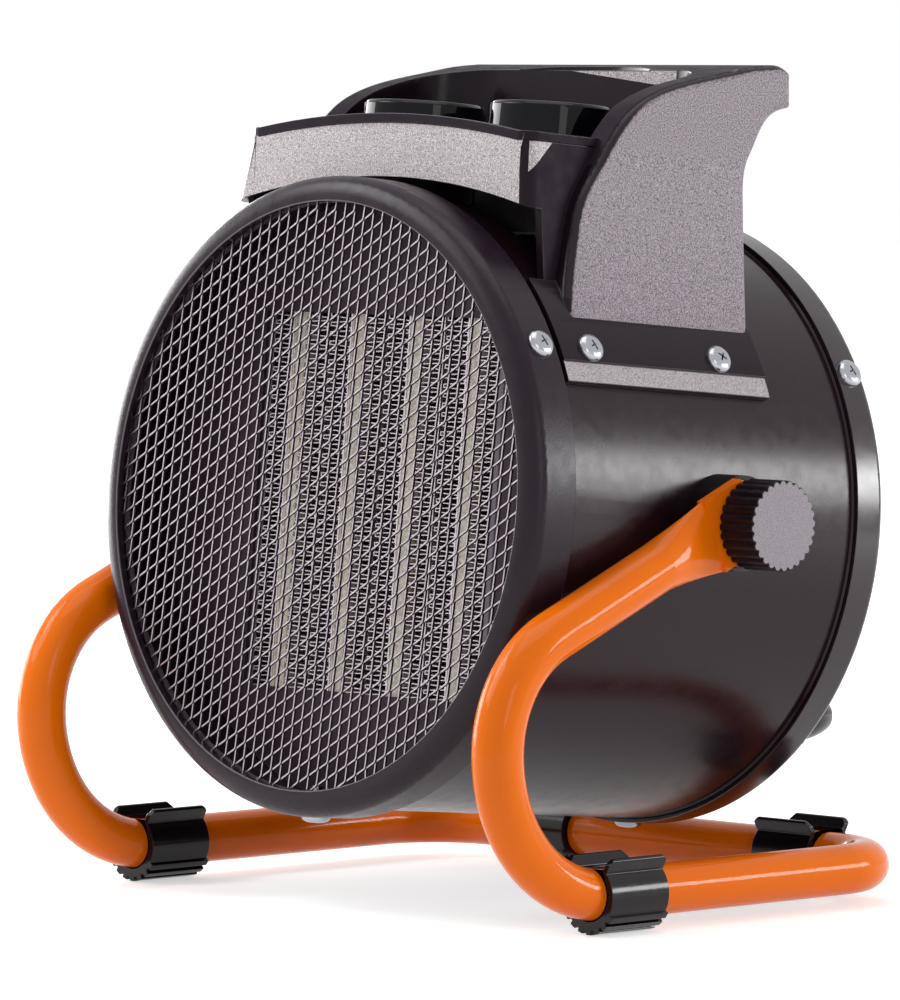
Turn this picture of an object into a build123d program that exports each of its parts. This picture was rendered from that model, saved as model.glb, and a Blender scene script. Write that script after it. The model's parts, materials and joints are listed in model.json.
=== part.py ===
from build123d import *
import os
from math import asin, atan2, ceil, cos, degrees, hypot, radians, sin, sqrt, tan

os.makedirs("parts", exist_ok=True)

# Round forced air heater on a bent tube stand.  Millimetres, +Z up, the outlet looks along -Y,
# +X is on the right of someone who faces the outlet.  The origin is on the floor, under the
# middle of the whole.  The head is drawn about its pivot, barrel axis along Y, and then tilted.

# Barrel, which most of the head and the stand take their size from
barrel_radius = 97.8
barrel_wall = 1.0
barrel_front = -77.5
barrel_rear = 71.0
groove_front = 57.0             # rolled groove that the rear cover stops against
groove_rear = 60.5
groove_depth = 0.6
cover_fit = 0.15                # slip fit of the bezel and the rear cover over the barrel
head_tilt = 5.18                # at rest the outlet looks up by this angle

# Bezel and grille
bezel_wall = 3.0
bezel_radius = barrel_radius + bezel_wall
bezel_rear = -66.0
bezel_shoulder = -78.0
bezel_nose = -83.4
nose_width = 7.3                # rounded nose, seen from the front
lip_radius = bezel_radius - nose_width
lip_width = 1.0
grille_thickness = 1.0
grille_front = -80.6
grille_strand = 1.3
grille_cell_height = 11.5
grille_cell_pitch = 10.0
grille_cell_skew = 28.4         # the strands climb by this angle from one column to the next

# Rear cover
band_wall = 1.6
band_radius = barrel_radius + band_wall
cover_rear = 73.0
cover_face = 1.8
cover_edge_radius = 3.0
slot_width = 5.0
slot_ring_radii = ((26.0, 39.0), (43.5, 57.5), (62.0, 79.0))
slot_counts = (14, 22, 30)
slot_sweep = 24.0               # slant of the intake slots from the radius

# Stand tube
tube_radius = 8.0
tube_wall = 1.2
side_gap = 2.6                  # the side tubes lie this far inside the bezel's widest point
stand_half_width = bezel_radius + tube_radius - side_gap
front_reach = 103.8             # foremost point of the tube's middle line, ahead of the pivot
cover_screw_y = 66.0
crossbar_gap = 5.9              # the crossbar runs this far behind the rear cover's screws
rear_reach = cover_screw_y + crossbar_gap
belly_gap = 2.7                 # between the bezel's lowest point and the base tube, if level
base_drop = bezel_radius + tube_radius + belly_gap
knee_drop = 66.0                # height of the foremost point, below the pivot
upper_bend_radius = 38.0
lower_bend_radius = base_drop - knee_drop
rear_corner_radius = 25.0
arm_lift = 3.2                  # the arm's middle line passes this far above the pivot
paddle_thickness = 3.6          # flattened tube end
paddle_width = 24.0
paddle_end_radius = 13.5
paddle_offset = 5.3             # the flat end's outer face, outside the tube's middle line
paddle_outer_face = stand_half_width + paddle_offset
paddle_run = 17.0               # flat length, from the pivot
squash_run = 22.0               # length over which the round tube goes flat

# Feet, clips pressed over the tube
foot_length = 24.5
foot_outer_radius = 10.7
foot_fit = 0.2
foot_drop = 12.0                # tube middle above the floor
foot_teeth = 7
foot_tooth_angle = 18.0
foot_tooth_width = 2.2
foot_mouth = 12.0
foot_lip_thickness = 1.9
foot_lip_low = (6.9, 7.7)       # ends of a lip's middle line, from the tube's middle
foot_lip_high = (8.8, 11.05)
foot_corner_radius = 1.8
foot_setback = 5.1              # the front feet reach onto the lower bends by less than half
front_foot_offset = front_reach - lower_bend_radius - foot_setback
rear_right_foot_x = 64.0
rear_left_foot_x = -48.0

# Screws
screw_head_radius = 4.7
screw_head_height = 2.7
screw_shank_radius = 1.9
screw_hole_fit = 0.05
screw_clearance = 0.4           # holes in the outer, clamped sheet
screw_length = 9.0
ring_screw_angles = (60.0, 180.0, 300.0)
bezel_screw_y = -72.4
housing_screw_angle = 60.0
housing_screw_ys = (-50.9, 5.3)

# Heating core
core_front = -55.5
core_depth = 22.0
core_margin = 37.8              # from the barrel's radius to half the core's height
core_sink = 1.5                 # the core's middle is this far below the barrel's axis
core_bottom = core_margin - barrel_radius - core_sink
core_top = barrel_radius - core_margin - core_sink
module_pitch = 27.0
module_count = 4
strip_width = 5.4
strip_edge = 0.8
strip_recess = 0.4
strip_tongue = 5.0              # strips run on into the end caps by this
fin_width = 8.4
fin_half_pitch = 2.5
fin_sheet = 0.4
fin_plate = 0.8
fin_inset = 0.6                 # corrugations stop short of the plate's edges
core_fit = 0.05
upright_thickness = 3.0
cap_height = 8.0
cap_wall = 1.4
baffle_thickness = 1.0
baffle_rim = 9.0
cutout_radius = 8.5
cutout_height = 6.0
cutout_x = 27.0
tab_thickness = 0.8             # spade terminals
tab_width = 6.0
tab_length = 8.0

# Fan
tip_gap = 15.8                  # from the blades' tips to the barrel's outer radius
rotor_radius = barrel_radius - tip_gap
hub_radius = 21.0
hub_depth = 17.0
hub_wall = 2.0
blade_count = 7
blade_thickness = 1.6
blade_root_chord = 21.0
blade_tip_chord = 33.0
blade_root_pitch = 48.0
blade_tip_pitch = 27.0
rotor_rear = 18.0
shaft_radius = 3.0
shaft_fit = 0.06
shaft_stub = 9.0
motor_radius = 29.0
motor_front = 22.0
motor_length = 28.0
motor_boss_radius = 8.0
motor_boss = 2.5
bracket_sheet = 1.5
bracket_arm = 14.0
bracket_hub_radius = 26.0
motor_screw_circle = 19.0
motor_screw_radius = 2.0
motor_screw_head = 3.6

# Control housing.  Widths start from where the cheeks meet the barrel, heights from the
# barrel's top.
housing_wall = 3.0
flange_thickness = 3.0
flange_bury = 0.5
cheek_foot_angle = 54.6         # around the barrel, from its top
cheek_foot_radius = barrel_radius + flange_thickness - flange_bury
cheek_foot = (cheek_foot_radius * sin(radians(cheek_foot_angle)),
              cheek_foot_radius * cos(radians(cheek_foot_angle)))
cheek_taper = 11.3              # the cheeks lean in by this, from foot to handle
cheek_bow = 2.6
cheek_thickness = 10.5
cheek_top_x = cheek_foot[0] - cheek_taper
cheek_bow_drop = 7.8
cheek_height = 24.2
cheek_bow_z = barrel_radius - cheek_bow_drop
cheek_top_z = barrel_radius + cheek_height
cheek_inner_x = cheek_top_x - cheek_thickness
cheek_edge_radius = 3.0
cheek_foot_front = -56.3
cheek_foot_rear = 24.7
cheek_back = (28.4, -17.8)      # (y, height above the barrel), between throat and foot
cheek_curve = ((-46.6, -6.8), (-37.0, 9.7), (-23.0, 28.2), (-5.0, 37.8), (20.0, 44.4), (39.0, 48.2))
handle_nose = ((39.0, 48.2), (43.8, 48.2), (47.6, 46.4))    # (y, height above the barrel)
handle_throat = ((48.6, 35.4), (38.6, 30.6), (32.8, 20.2), (29.5, 6.2))
well_rear = 24.0
well_corner_radius = 20.0
deck_height = 14.2
deck_top = barrel_radius + deck_height
deck_thickness = 3.0
panel_front_low = -63.2         # the front panel leans back a little
panel_front_high = -61.0
panel_drop = 6.8
panel_height = 19.2
panel_low_z = barrel_radius - panel_drop
panel_high_z = barrel_radius + panel_height
panel_inset_low = 13.8          # the panel is this much narrower than the cheeks' feet
panel_inset_high = 6.3
panel_half_low = cheek_foot[0] - panel_inset_low
panel_half_high = cheek_top_x - panel_inset_high
panel_crown = 5.0               # rise of the panel's top edge in the middle
panel_rim = 2.8                 # height of the raised rim along that edge
panel_rim_proud = 0.7
panel_rim_rear = -29.0
panel_arch_height = 3.9         # the panel's lower edge is a flat arch
panel_arch_mid = barrel_radius + panel_arch_height
panel_arch_drop = 8.9
panel_corner_radius = 4.5
housing_seat = 0.05
flange_front = -64.0
flange_rear = 25.0
flange_inner_angle = 45.0
flange_angle = 62.5
flange_lip_angle = 66.5
flange_lip_thickness = 2.4
scoop_width = 46.0
scoop_depth = 5.0
scoop_reach = 9.0
scoop_floor = 45.2              # above the barrel

# Dials and what they turn
dial_x = 29.3
dial_y = -18.0
dial_radius = 20.3
dial_gap = 0.6
dial_height = 15.9
dial_top = deck_top + dial_gap + dial_height
dial_wall = 2.0
dial_bevel = 1.0
dial_draft = 0.8
grip_flutes = 5                 # on each of a dial's two grips
grip_angle = 45.0
grip_flute_pitch = 7.0
grip_flute_width = 1.6
grip_flute_depth = 0.5
spindle_radius = 3.0
spindle_hole_fit = 0.1
spindle_seat = 8.0
control_depth = 22.0
thermostat_size = (30.0, 34.0)
switch_radius = 17.0
switch_tabs = 4
window_half_width = 50.0
window_front = -48.0
window_rear = 12.0

# Tilt clamp
clamp_knob_radius = 14.2
clamp_knob_length = 14.0
clamp_flutes = 28
clamp_flute_depth = 0.9
clamp_gap = 0.1
spacer_radius = 15.0
stud_radius = 3.0
stud_fit = 0.08
stud_reach = 9.8                # the studs run this far into the barrel
stud_seat = 9.0
insert_across = 13.0
insert_thickness = 6.0

# Cable gland and terminals
gland_angle = 135.0
gland_margin = 12.95            # from the barrel's radius to the gland's middle
gland_x = (barrel_radius - gland_margin) * sin(radians(gland_angle))
gland_z = (barrel_radius - gland_margin) * cos(radians(gland_angle))
gland_hex_radius = 10.5
gland_hex_length = 5.0
gland_dome_radius = 8.6
gland_tip = 91.0
gland_bore = 4.0
gland_thread_radius = 7.0
gland_nut_length = 4.0
terminal_size = (40.0, 16.0, 14.0)
terminal_rear = -9.0
terminal_screws = 3
terminal_hole_radius = 3.0

pivot_z = base_drop + foot_drop
gland_reach = gland_tip * cos(radians(head_tilt)) + (gland_z + gland_bore) * sin(radians(head_tilt))
pivot_y = (front_reach + tube_radius - gland_reach) / 2
pivot = Pos(0, pivot_y, pivot_z)
head_place = pivot * Rot(-head_tilt, 0, 0)


def along_x(face, start, end):
    """Run a face drawn in (Y, Z) from X start to X end."""
    return extrude(Plane.YZ.offset(start) * face, amount=end - start)


def along_y(face, start, end):
    """Run a face drawn in (X, Z) from Y start to Y end."""
    return extrude(Plane.XZ.offset(-end) * face, amount=end - start)


def turned(points):
    """A ring about the barrel axis from its (radius, y) outline."""
    return revolve(make_face(Polyline(*points, close=True)), Axis.Y)


def disc(radius, start, end):
    return along_y(Circle(radius), start, end)


def polar(radius, angle):
    """(X, Z) at an angle from the top, positive towards +X."""
    return radius * sin(radians(angle)), radius * cos(radians(angle))


def radial(shape, angle, y):
    """Carry a shape drawn along +Z to an angle around the barrel."""
    return Pos(0, y, 0) * Rot(0, angle, 0) * shape


def screw(seat_radius, angle, y):
    """Pan head screw that points at the barrel axis, head seated at a radius."""
    radius, height = screw_head_radius, screw_head_height
    outline = Polyline(
        (0, -screw_length), (screw_shank_radius, -screw_length), (screw_shank_radius, 0), (radius, 0),
        (radius, height * 0.35), (radius * 0.8, height * 0.85), (radius * 0.5, height), (0, height),
        close=True)
    body = Rot(90, 0, 0) * revolve(make_face(outline), Axis.Y)
    return radial(Pos(0, 0, seat_radius) * body, angle, y)


def screw_hole(radius, angle, y):
    length = 2 * screw_length
    return radial(Pos(0, 0, barrel_radius) * Cylinder(radius, length), angle, y)


# ------------------------------------------------------------------ stand

def arm_tangent():
    """Where the straight arm meets the upper bend, as (y, z) from the pivot."""
    centre = (upper_bend_radius - front_reach, -knee_drop)
    away = (centre[0], centre[1] - arm_lift)
    reach = hypot(*away)
    heading = atan2(away[1], away[0]) - asin(upper_bend_radius / reach)
    run = sqrt(reach ** 2 - upper_bend_radius ** 2)
    return (run * cos(heading), arm_lift + run * sin(heading)), heading


def arm_points():
    (y, z), heading = arm_tangent()
    start = paddle_run + squash_run
    return (start * cos(heading), arm_lift + start * sin(heading)), (y, z)


def tube_path():
    """Middle line of the round tube, one arm end to the other."""
    arm_start, arm_end = arm_points()
    centre = (upper_bend_radius - front_reach, -knee_drop)
    middle = atan2(arm_end[1] - centre[1], arm_end[0] - centre[0]) / 2 + radians(90)
    knee = (centre[0] + upper_bend_radius * cos(middle), centre[1] + upper_bend_radius * sin(middle))
    foremost = (-front_reach, -knee_drop)
    low = (lower_bend_radius - front_reach, -base_drop)
    diagonal = lower_bend_radius * sin(radians(45))
    turn = (lower_bend_radius - front_reach - diagonal, -knee_drop - diagonal)
    corner_y = rear_reach - rear_corner_radius
    corner_x = stand_half_width - rear_corner_radius
    cut = rear_corner_radius * sin(radians(45))

    def side(x, point):
        return (x, point[0], point[1])

    def half(x):
        return [
            Line(side(x, arm_start), side(x, arm_end)),
            ThreePointArc(side(x, arm_end), side(x, knee), side(x, foremost)),
            ThreePointArc(side(x, foremost), side(x, turn), side(x, low)),
            Line(side(x, low), (x, corner_y, -base_drop)),
        ]

    right = half(stand_half_width)
    left = half(-stand_half_width)
    rear = [
        ThreePointArc((stand_half_width, corner_y, -base_drop),
                      (corner_x + cut, corner_y + cut, -base_drop),
                      (corner_x, rear_reach, -base_drop)),
        Line((corner_x, rear_reach, -base_drop), (-corner_x, rear_reach, -base_drop)),
        ThreePointArc((-corner_x, rear_reach, -base_drop),
                      (-corner_x - cut, corner_y + cut, -base_drop),
                      (-stand_half_width, corner_y, -base_drop)),
    ]
    return Wire(right + rear + left)


def swept_tube(radius):
    path = tube_path()
    start = Plane(origin=path @ 0, z_dir=path % 0)
    return sweep(start * Circle(radius), path=path)


def paddle(side):
    """Flattened, drilled tube end on one side, solid where it is squashed."""
    heading = arm_tangent()[1]
    mid_x = paddle_outer_face - paddle_thickness / 2
    forward = Vector(0, cos(heading), sin(heading))

    def section(distance, x, half_long, half_thin):
        origin = Vector(side * x, 0, arm_lift) + forward * distance
        return Plane(origin=origin, x_dir=(1, 0, 0), z_dir=forward) * Ellipse(half_thin, half_long)

    squash = loft([
        section(paddle_run, mid_x, paddle_width / 2, paddle_thickness / 2),
        section(paddle_run + squash_run * 0.45, (mid_x + stand_half_width) / 2,
                (paddle_width / 2 + tube_radius) / 2, (paddle_thickness / 2 + tube_radius) / 2),
        section(paddle_run + squash_run, stand_half_width, tube_radius, tube_radius),
    ])
    strip = Pos(paddle_run * cos(heading) / 2, arm_lift + paddle_run * sin(heading) / 2)
    strip *= Rot(0, 0, degrees(heading)) * Rectangle(paddle_run, paddle_width)
    outline = strip + Circle(paddle_end_radius) - Circle(stud_radius + screw_clearance)
    inner, outer = mid_x - paddle_thickness / 2, mid_x + paddle_thickness / 2
    plate = along_x(outline, inner, outer) if side > 0 else along_x(outline, -outer, -inner)
    return squash + plate


def stand_tube():
    tube = swept_tube(tube_radius) - swept_tube(tube_radius - tube_wall)
    return tube + paddle(1) + paddle(-1)


def foot_section():
    """The clip's section across the tube: toothed tread below, open jaws with lips above."""
    jaw = Sketch() + Circle(foot_outer_radius)
    for i in range(foot_teeth):
        turn = (i - (foot_teeth - 1) / 2) * foot_tooth_angle
        jaw += Rot(0, 0, turn) * Pos(0, -foot_drop / 2) * Rectangle(foot_tooth_width, foot_drop)
    jaw -= Pos(0, foot_outer_radius) * Rectangle(foot_mouth, 2 * foot_outer_radius)
    low, high = Vector(*foot_lip_low), Vector(*foot_lip_high)
    lean = degrees(atan2(high.Y - low.Y, high.X - low.X))
    middle = (low + high) / 2
    lip = Rot(0, 0, lean) * SlotCenterToCenter((high - low).length, foot_lip_thickness)
    lip = Pos(middle.X, middle.Y) * lip
    return jaw + lip + lip.mirror(Plane.YZ)


def foot_profile():
    """Side view of a clip, the lips' corners taken off, as (along the tube, height)."""
    half = foot_length / 2
    crest = foot_lip_high[1] + foot_lip_thickness / 2
    shoulder = crest - foot_corner_radius
    arch = half - foot_corner_radius
    return make_face(Polyline((-half, -foot_drop), (half, -foot_drop), (half, shoulder), (arch, crest),
                              (-arch, crest), (-half, shoulder), close=True))


def side_foot(side):
    half = foot_length / 2
    foot = along_y(foot_section(), -half, half) & along_x(foot_profile(), -foot_length, foot_length)
    foot = Pos(side * stand_half_width, -front_foot_offset, -base_drop) * foot
    return foot - swept_tube(tube_radius + foot_fit)


def rear_foot(x):
    half = foot_length / 2
    section = foot_section() - Circle(tube_radius + foot_fit)
    foot = along_x(section, -half, half) & along_y(foot_profile(), -foot_length, foot_length)
    return Pos(x, rear_reach, -base_drop) * foot


# ------------------------------------------------------------------ shells of the head

def barrel_shell():
    """Rolled steel barrel with its groove, cut for the controls, pivots and screws."""
    outer, inner = barrel_radius, barrel_radius - barrel_wall
    outer_line = [(outer, barrel_front), (outer, groove_front),
                  (outer - groove_depth, groove_front + groove_depth),
                  (outer - groove_depth, groove_rear - groove_depth),
                  (outer, groove_rear), (outer, barrel_rear)]
    inner_line = [(r - barrel_wall, y) for r, y in reversed(outer_line)]
    shell = turned(outer_line + inner_line)
    window_middle = (window_front + window_rear) / 2
    window = Box(2 * window_half_width, window_rear - window_front, 2 * barrel_radius)
    shell -= Pos(0, window_middle, barrel_radius) * window
    tapped = screw_shank_radius + screw_hole_fit
    for angle in ring_screw_angles:
        shell -= screw_hole(tapped, angle, bezel_screw_y)
        shell -= screw_hole(tapped, angle, cover_screw_y)
    for angle in (housing_screw_angle, -housing_screw_angle):
        for y in housing_screw_ys:
            shell -= screw_hole(tapped, angle, y)
    return shell - Rot(0, 90, 0) * Cylinder(stud_radius + screw_clearance, 3 * barrel_radius)


def front_bezel():
    """Collar with a rounded nose and a thin lip, over the front of the barrel."""
    bore = barrel_radius + cover_fit
    nose = EllipticalCenterArc((lip_radius, bezel_shoulder), bezel_radius - lip_radius,
                               bezel_shoulder - bezel_nose, start_angle=270, arc_size=90)
    outline = nose + Polyline(
        (bezel_radius, bezel_shoulder), (bezel_radius, bezel_rear), (bore, bezel_rear),
        (bore, grille_front), (lip_radius - lip_width, grille_front),
        (lip_radius - lip_width, bezel_nose), (lip_radius, bezel_nose))
    bezel = revolve(make_face(outline), Axis.Y)
    for angle in ring_screw_angles:
        bezel -= screw_hole(screw_shank_radius + screw_clearance, angle, bezel_screw_y)
    return bezel


def grille_cells(reach):
    """Diamond gaps of the expanded metal that lie inside the reach, as wires."""
    lean = grille_cell_pitch * tan(radians(grille_cell_skew))
    columns = ceil(reach / grille_cell_pitch)
    rows = ceil(2 * reach / grille_cell_height)
    across = grille_cell_pitch / 2 - grille_strand / 2
    half_height = grille_cell_height / 2 - grille_strand / 2
    rise = across * tan(radians(grille_cell_skew))
    cells = []
    for column in range(-columns, columns + 1):
        for row in range(-rows, rows + 1):
            x = column * grille_cell_pitch
            z = row * grille_cell_height + column * lean
            corners = [(x - across, z - rise - half_height), (x + across, z + rise - half_height),
                       (x + across, z + rise + half_height), (x - across, z - rise + half_height)]
            if max(hypot(*corner) for corner in corners) < reach:
                cells.append(Wire.make_polygon([Vector(cx, cz) for cx, cz in corners]))
    return cells


def front_grille():
    """Expanded metal disc, held between the bezel's lip and the ring behind it."""
    rim = Wire.make_circle(barrel_radius)
    net = Face(rim, grille_cells(lip_radius - lip_width))
    return along_y(net, grille_front, grille_front + grille_thickness)


def grille_ring():
    """Spring ring that presses the grille into the bezel, against the barrel's edge."""
    outer, inner = barrel_radius, lip_radius - lip_width
    return turned([(inner, grille_front + grille_thickness), (outer, grille_front + grille_thickness),
                   (outer, barrel_front), (inner, barrel_front)])


def intake_slots():
    slots = []
    for (inner, outer), count in zip(slot_ring_radii, slot_counts):
        length = outer - inner
        for i in range(count):
            angle = 360 * i / count
            slot = Pos((inner + outer) / 2, 0) * Rot(0, 0, slot_sweep) * Rectangle(length, slot_width)
            slots.append(Rot(0, 0, angle) * slot)
    return slots


def rear_cover():
    """Cap over the rear of the barrel, slotted for the intake air."""
    bore = barrel_radius + cover_fit
    edge = cover_edge_radius
    corner = ThreePointArc(
        (band_radius, cover_rear - edge),
        (band_radius - edge + edge * cos(radians(45)), cover_rear - edge + edge * sin(radians(45))),
        (band_radius - edge, cover_rear))
    outline = corner + Polyline(
        (band_radius - edge, cover_rear), (0, cover_rear), (0, cover_rear - cover_face),
        (bore, cover_rear - cover_face), (bore, groove_rear), (band_radius, groove_rear),
        (band_radius, cover_rear - edge))
    cover = revolve(make_face(outline), Axis.Y)
    cover -= along_y(Sketch() + intake_slots(), cover_rear - 2 * cover_face, cover_rear + cover_face)
    for angle in ring_screw_angles:
        cover -= screw_hole(screw_shank_radius + screw_clearance, angle, cover_screw_y)
    return cover - Pos(gland_x, 0, gland_z) * disc(gland_thread_radius + screw_hole_fit, 0, 2 * cover_rear)


# ------------------------------------------------------------------ heating core

def module_x(index):
    return (index - (module_count - 1) / 2) * module_pitch


module_half = strip_width / 2 + fin_width + fin_plate + core_fit
upright_inner = module_x(module_count - 1) + module_half + core_fit


def ptc_strip(x):
    """Flat aluminium tube that holds the ceramic stones, its edges proud of its face."""
    height = core_top - core_bottom + 2 * strip_tongue
    middle = (core_top + core_bottom) / 2
    section = Rectangle(strip_width, core_depth)
    for side in (-1, 1):
        groove = Rectangle(strip_width - 2 * strip_edge, 2 * strip_recess)
        section -= Pos(0, side * core_depth / 2) * groove
    strip = extrude(Plane.XY.offset(middle - height / 2) * section, amount=height)
    return Pos(x, core_front + core_depth / 2, 0) * strip


def fin_pack(x, side):
    """Corrugated fin brazed to its outer plate, beside one strip."""
    near = strip_width / 2 + core_fit
    width = fin_width + fin_plate / 4
    start, end = core_bottom + fin_inset, core_top - fin_inset
    steps = round((end - start) / fin_half_pitch)
    rise = (end - start) / steps
    fold = fin_sheet * width / (rise + fin_sheet)
    left = [(near + (width - fold) * (i % 2), start + i * rise) for i in range(steps + 1)]
    right = [(px + fold, pz) for px, pz in reversed(left)]
    ribbon = make_face(Polyline(*left, *right, close=True))
    height = core_top - core_bottom
    plate = Pos(near + fin_width + fin_plate / 2, (core_top + core_bottom) / 2)
    plate *= Rectangle(fin_plate, height)
    rear = core_front + core_depth
    pack = along_y(ribbon, core_front, rear) + along_y(plate, core_front, rear)
    if side < 0:
        pack = pack.mirror(Plane.YZ)
    return Pos(x, 0, 0) * pack


def core_upright(side):
    height = core_top - core_bottom
    upright = Box(upright_thickness, core_depth, height)
    x = side * (upright_inner + upright_thickness / 2)
    return Pos(x, core_front + core_depth / 2, (core_top + core_bottom) / 2) * upright


def core_cap(side):
    """End cap with a pocket for each strip; it carries the uprights."""
    width = 2 * (upright_inner + upright_thickness)
    edge = core_top if side > 0 else core_bottom
    middle = edge + side * cap_height / 2
    cap = Pos(0, core_front + core_depth / 2, middle) * Box(width, core_depth + 2 * cap_wall, cap_height)
    cap = Pos(0, cap_wall, 0) * cap
    pocket = Box(strip_width + 2 * core_fit, core_depth + 2 * core_fit, 2 * strip_tongue + core_fit)
    for i in range(module_count):
        cap -= Pos(module_x(i), core_front + core_depth / 2, edge) * pocket
    return cap


def core_baffle():
    """Sheet disc with the core's window and a rim turned back along the barrel."""
    outer = barrel_radius - barrel_wall - cover_fit
    front = core_front - baffle_thickness
    rim_rear = core_front + baffle_rim
    pan = turned([(0, front), (outer, front), (outer, rim_rear), (outer - baffle_thickness, rim_rear),
                  (outer - baffle_thickness, core_front), (0, core_front)])
    width = 2 * (upright_inner + upright_thickness + core_fit)
    window = Box(width, 4 * baffle_thickness, core_top - core_bottom)
    pan -= Pos(0, core_front, (core_top + core_bottom) / 2) * window
    tapped = screw_shank_radius + screw_hole_fit
    for angle in (housing_screw_angle, -housing_screw_angle):
        pan -= screw_hole(tapped, angle, housing_screw_ys[0])
    return pan


def thermal_cutout():
    """Bimetal overheat cut-out on the upper end cap, with its two tabs."""
    base = core_top + cap_height
    body = Pos(0, 0, cutout_height / 2) * Cylinder(cutout_radius, cutout_height)
    for side in (-1, 1):
        tab = Box(tab_thickness, tab_width, tab_length)
        body += Pos(side * cutout_radius / 2, 0, cutout_height) * tab
    return Pos(cutout_x, core_front + core_depth / 2 + cap_wall, base) * body


# ------------------------------------------------------------------ fan

def blade():
    """One twisted, ruled blade along +X."""
    root = Plane(origin=(hub_radius - hub_wall / 2, 0, 0), x_dir=(0, 1, 0), z_dir=(1, 0, 0))
    tip = Plane(origin=(rotor_radius, 0, 0), x_dir=(0, 1, 0), z_dir=(1, 0, 0))
    root_face = root * Rot(0, 0, blade_root_pitch) * Rectangle(blade_root_chord, blade_thickness)
    tip_face = tip * Rot(0, 0, blade_tip_pitch) * Rectangle(blade_tip_chord, blade_thickness)
    blank = loft([root_face, tip_face], ruled=True)
    return blank & disc(rotor_radius - hub_wall, -blade_tip_chord, blade_tip_chord)


def fan_impeller():
    hub_front = rotor_rear - hub_depth
    middle = rotor_rear - hub_depth / 2
    hub = disc(hub_radius, hub_front, rotor_rear)
    hub -= disc(hub_radius - hub_wall, hub_front + hub_wall, rotor_rear + hub_wall)
    hub += disc(shaft_radius + 2 * hub_wall, hub_front, rotor_rear)
    one = blade()
    for i in range(blade_count):
        hub += Pos(0, middle, 0) * Rot(0, 360 * i / blade_count, 0) * one
    return hub - disc(shaft_radius + screw_hole_fit, hub_front - hub_wall, rotor_rear + hub_wall)


def motor_shaft():
    return disc(shaft_radius, rotor_rear - hub_depth - hub_wall, motor_front + shaft_stub)


def fan_motor():
    """Closed motor can with front and rear bearing bosses."""
    rear = motor_front + motor_length
    can = disc(motor_radius, motor_front, rear)
    can = fillet(can.edges().filter_by(GeomType.CIRCLE).group_by(Axis.Y)[0], motor_boss)
    can += disc(motor_boss_radius, motor_front - motor_boss, motor_front)
    for side in (-1, 1):
        can -= Pos(side * motor_screw_circle, 0, 0) * disc(
            motor_screw_radius + screw_hole_fit, rear - screw_length, rear)
    return can - disc(shaft_radius + shaft_fit, 0, motor_front + shaft_stub + 1)


def motor_bracket():
    """Three-armed sheet bracket; its tabs take the rear cover's screws."""
    front = motor_front + motor_length
    rear = front + bracket_sheet
    tab_outer = barrel_radius - barrel_wall - groove_depth - cover_fit
    arms = Circle(bracket_hub_radius)
    for angle in ring_screw_angles:
        x, z = polar(tab_outer / 2, angle)
        arms += Pos(x, z) * Rot(0, 0, 90 - angle) * Rectangle(tab_outer, bracket_arm)
    spider = along_y(arms, front, rear) & disc(tab_outer, 0, cover_rear)
    tab_rear = cover_rear - cover_face - cover_fit
    ring = disc(tab_outer, front, tab_rear) - disc(tab_outer - bracket_sheet, front - 1, tab_rear + 1)
    for angle in ring_screw_angles:
        keep = Pos(0, 0, tab_outer) * Box(bracket_arm, 4 * barrel_rear, tab_outer)
        spider += ring & (Rot(0, angle, 0) * keep)
    tapped = screw_shank_radius + screw_hole_fit
    for angle in ring_screw_angles:
        spider -= screw_hole(tapped, angle, cover_screw_y)
    for side in (-1, 1):
        spider -= Pos(side * motor_screw_circle, 0, 0) * disc(
            motor_screw_radius + screw_hole_fit, front - 1, rear + 1)
    return spider


def motor_screws():
    seat = motor_front + motor_length + bracket_sheet
    screws = []
    for side in (-1, 1):
        head = disc(motor_screw_head, seat, seat + motor_screw_radius)
        shank = disc(motor_screw_radius, seat - screw_length, seat)
        screws.append(Pos(side * motor_screw_circle, 0, 0) * (head + shank))
    return screws


# ------------------------------------------------------------------ control housing

def panel_half(z):
    """Half width of the front box at a height; it narrows upwards."""
    share = (z - panel_low_z) / (panel_high_z - panel_low_z)
    return panel_half_low + share * (panel_half_high - panel_half_low)


def cheek_side():
    """Side view of the cheeks and the handle, in (y, z)."""
    def above(points):
        return [(y, barrel_radius + rise) for y, rise in points]

    curve, nose, throat = above(cheek_curve), above(handle_nose), above(handle_throat)
    foot_z, low = cheek_foot[1], cheek_foot[1] / 2
    front = Spline(*curve, tangents=((0.29, 1.0), (1.0, 0.12)))
    under = Spline(*throat, tangents=((-1.0, -0.2), (0.0, -1.0)))
    rear = ThreePointArc(throat[-1], above([cheek_back])[0], (cheek_foot_rear, foot_z))
    foot = Polyline((cheek_foot_rear, foot_z), (cheek_foot_rear, low), (cheek_foot_front, low),
                    (cheek_foot_front, foot_z), curve[0])
    return make_face(front + ThreePointArc(*nose) + Line(nose[-1], throat[0]) + under + rear + foot)


def cheek_front():
    """Front view of the whole block: cheeks that bow out towards the barrel, in (x, z)."""
    roof = barrel_radius + 2 * deck_height + scoop_floor
    foot_x, foot_z = cheek_foot
    bow_x = cheek_top_x + cheek_bow
    right = ThreePointArc((foot_x, foot_z), (bow_x, cheek_bow_z), (cheek_top_x, cheek_top_z))
    left = ThreePointArc((-cheek_top_x, cheek_top_z), (-bow_x, cheek_bow_z), (-foot_x, foot_z))
    top = Polyline((cheek_top_x, cheek_top_z), (cheek_top_x, roof), (-cheek_top_x, roof),
                   (-cheek_top_x, cheek_top_z))
    return make_face(right + top + left + Line((-foot_x, foot_z), (foot_x, foot_z)))


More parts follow.
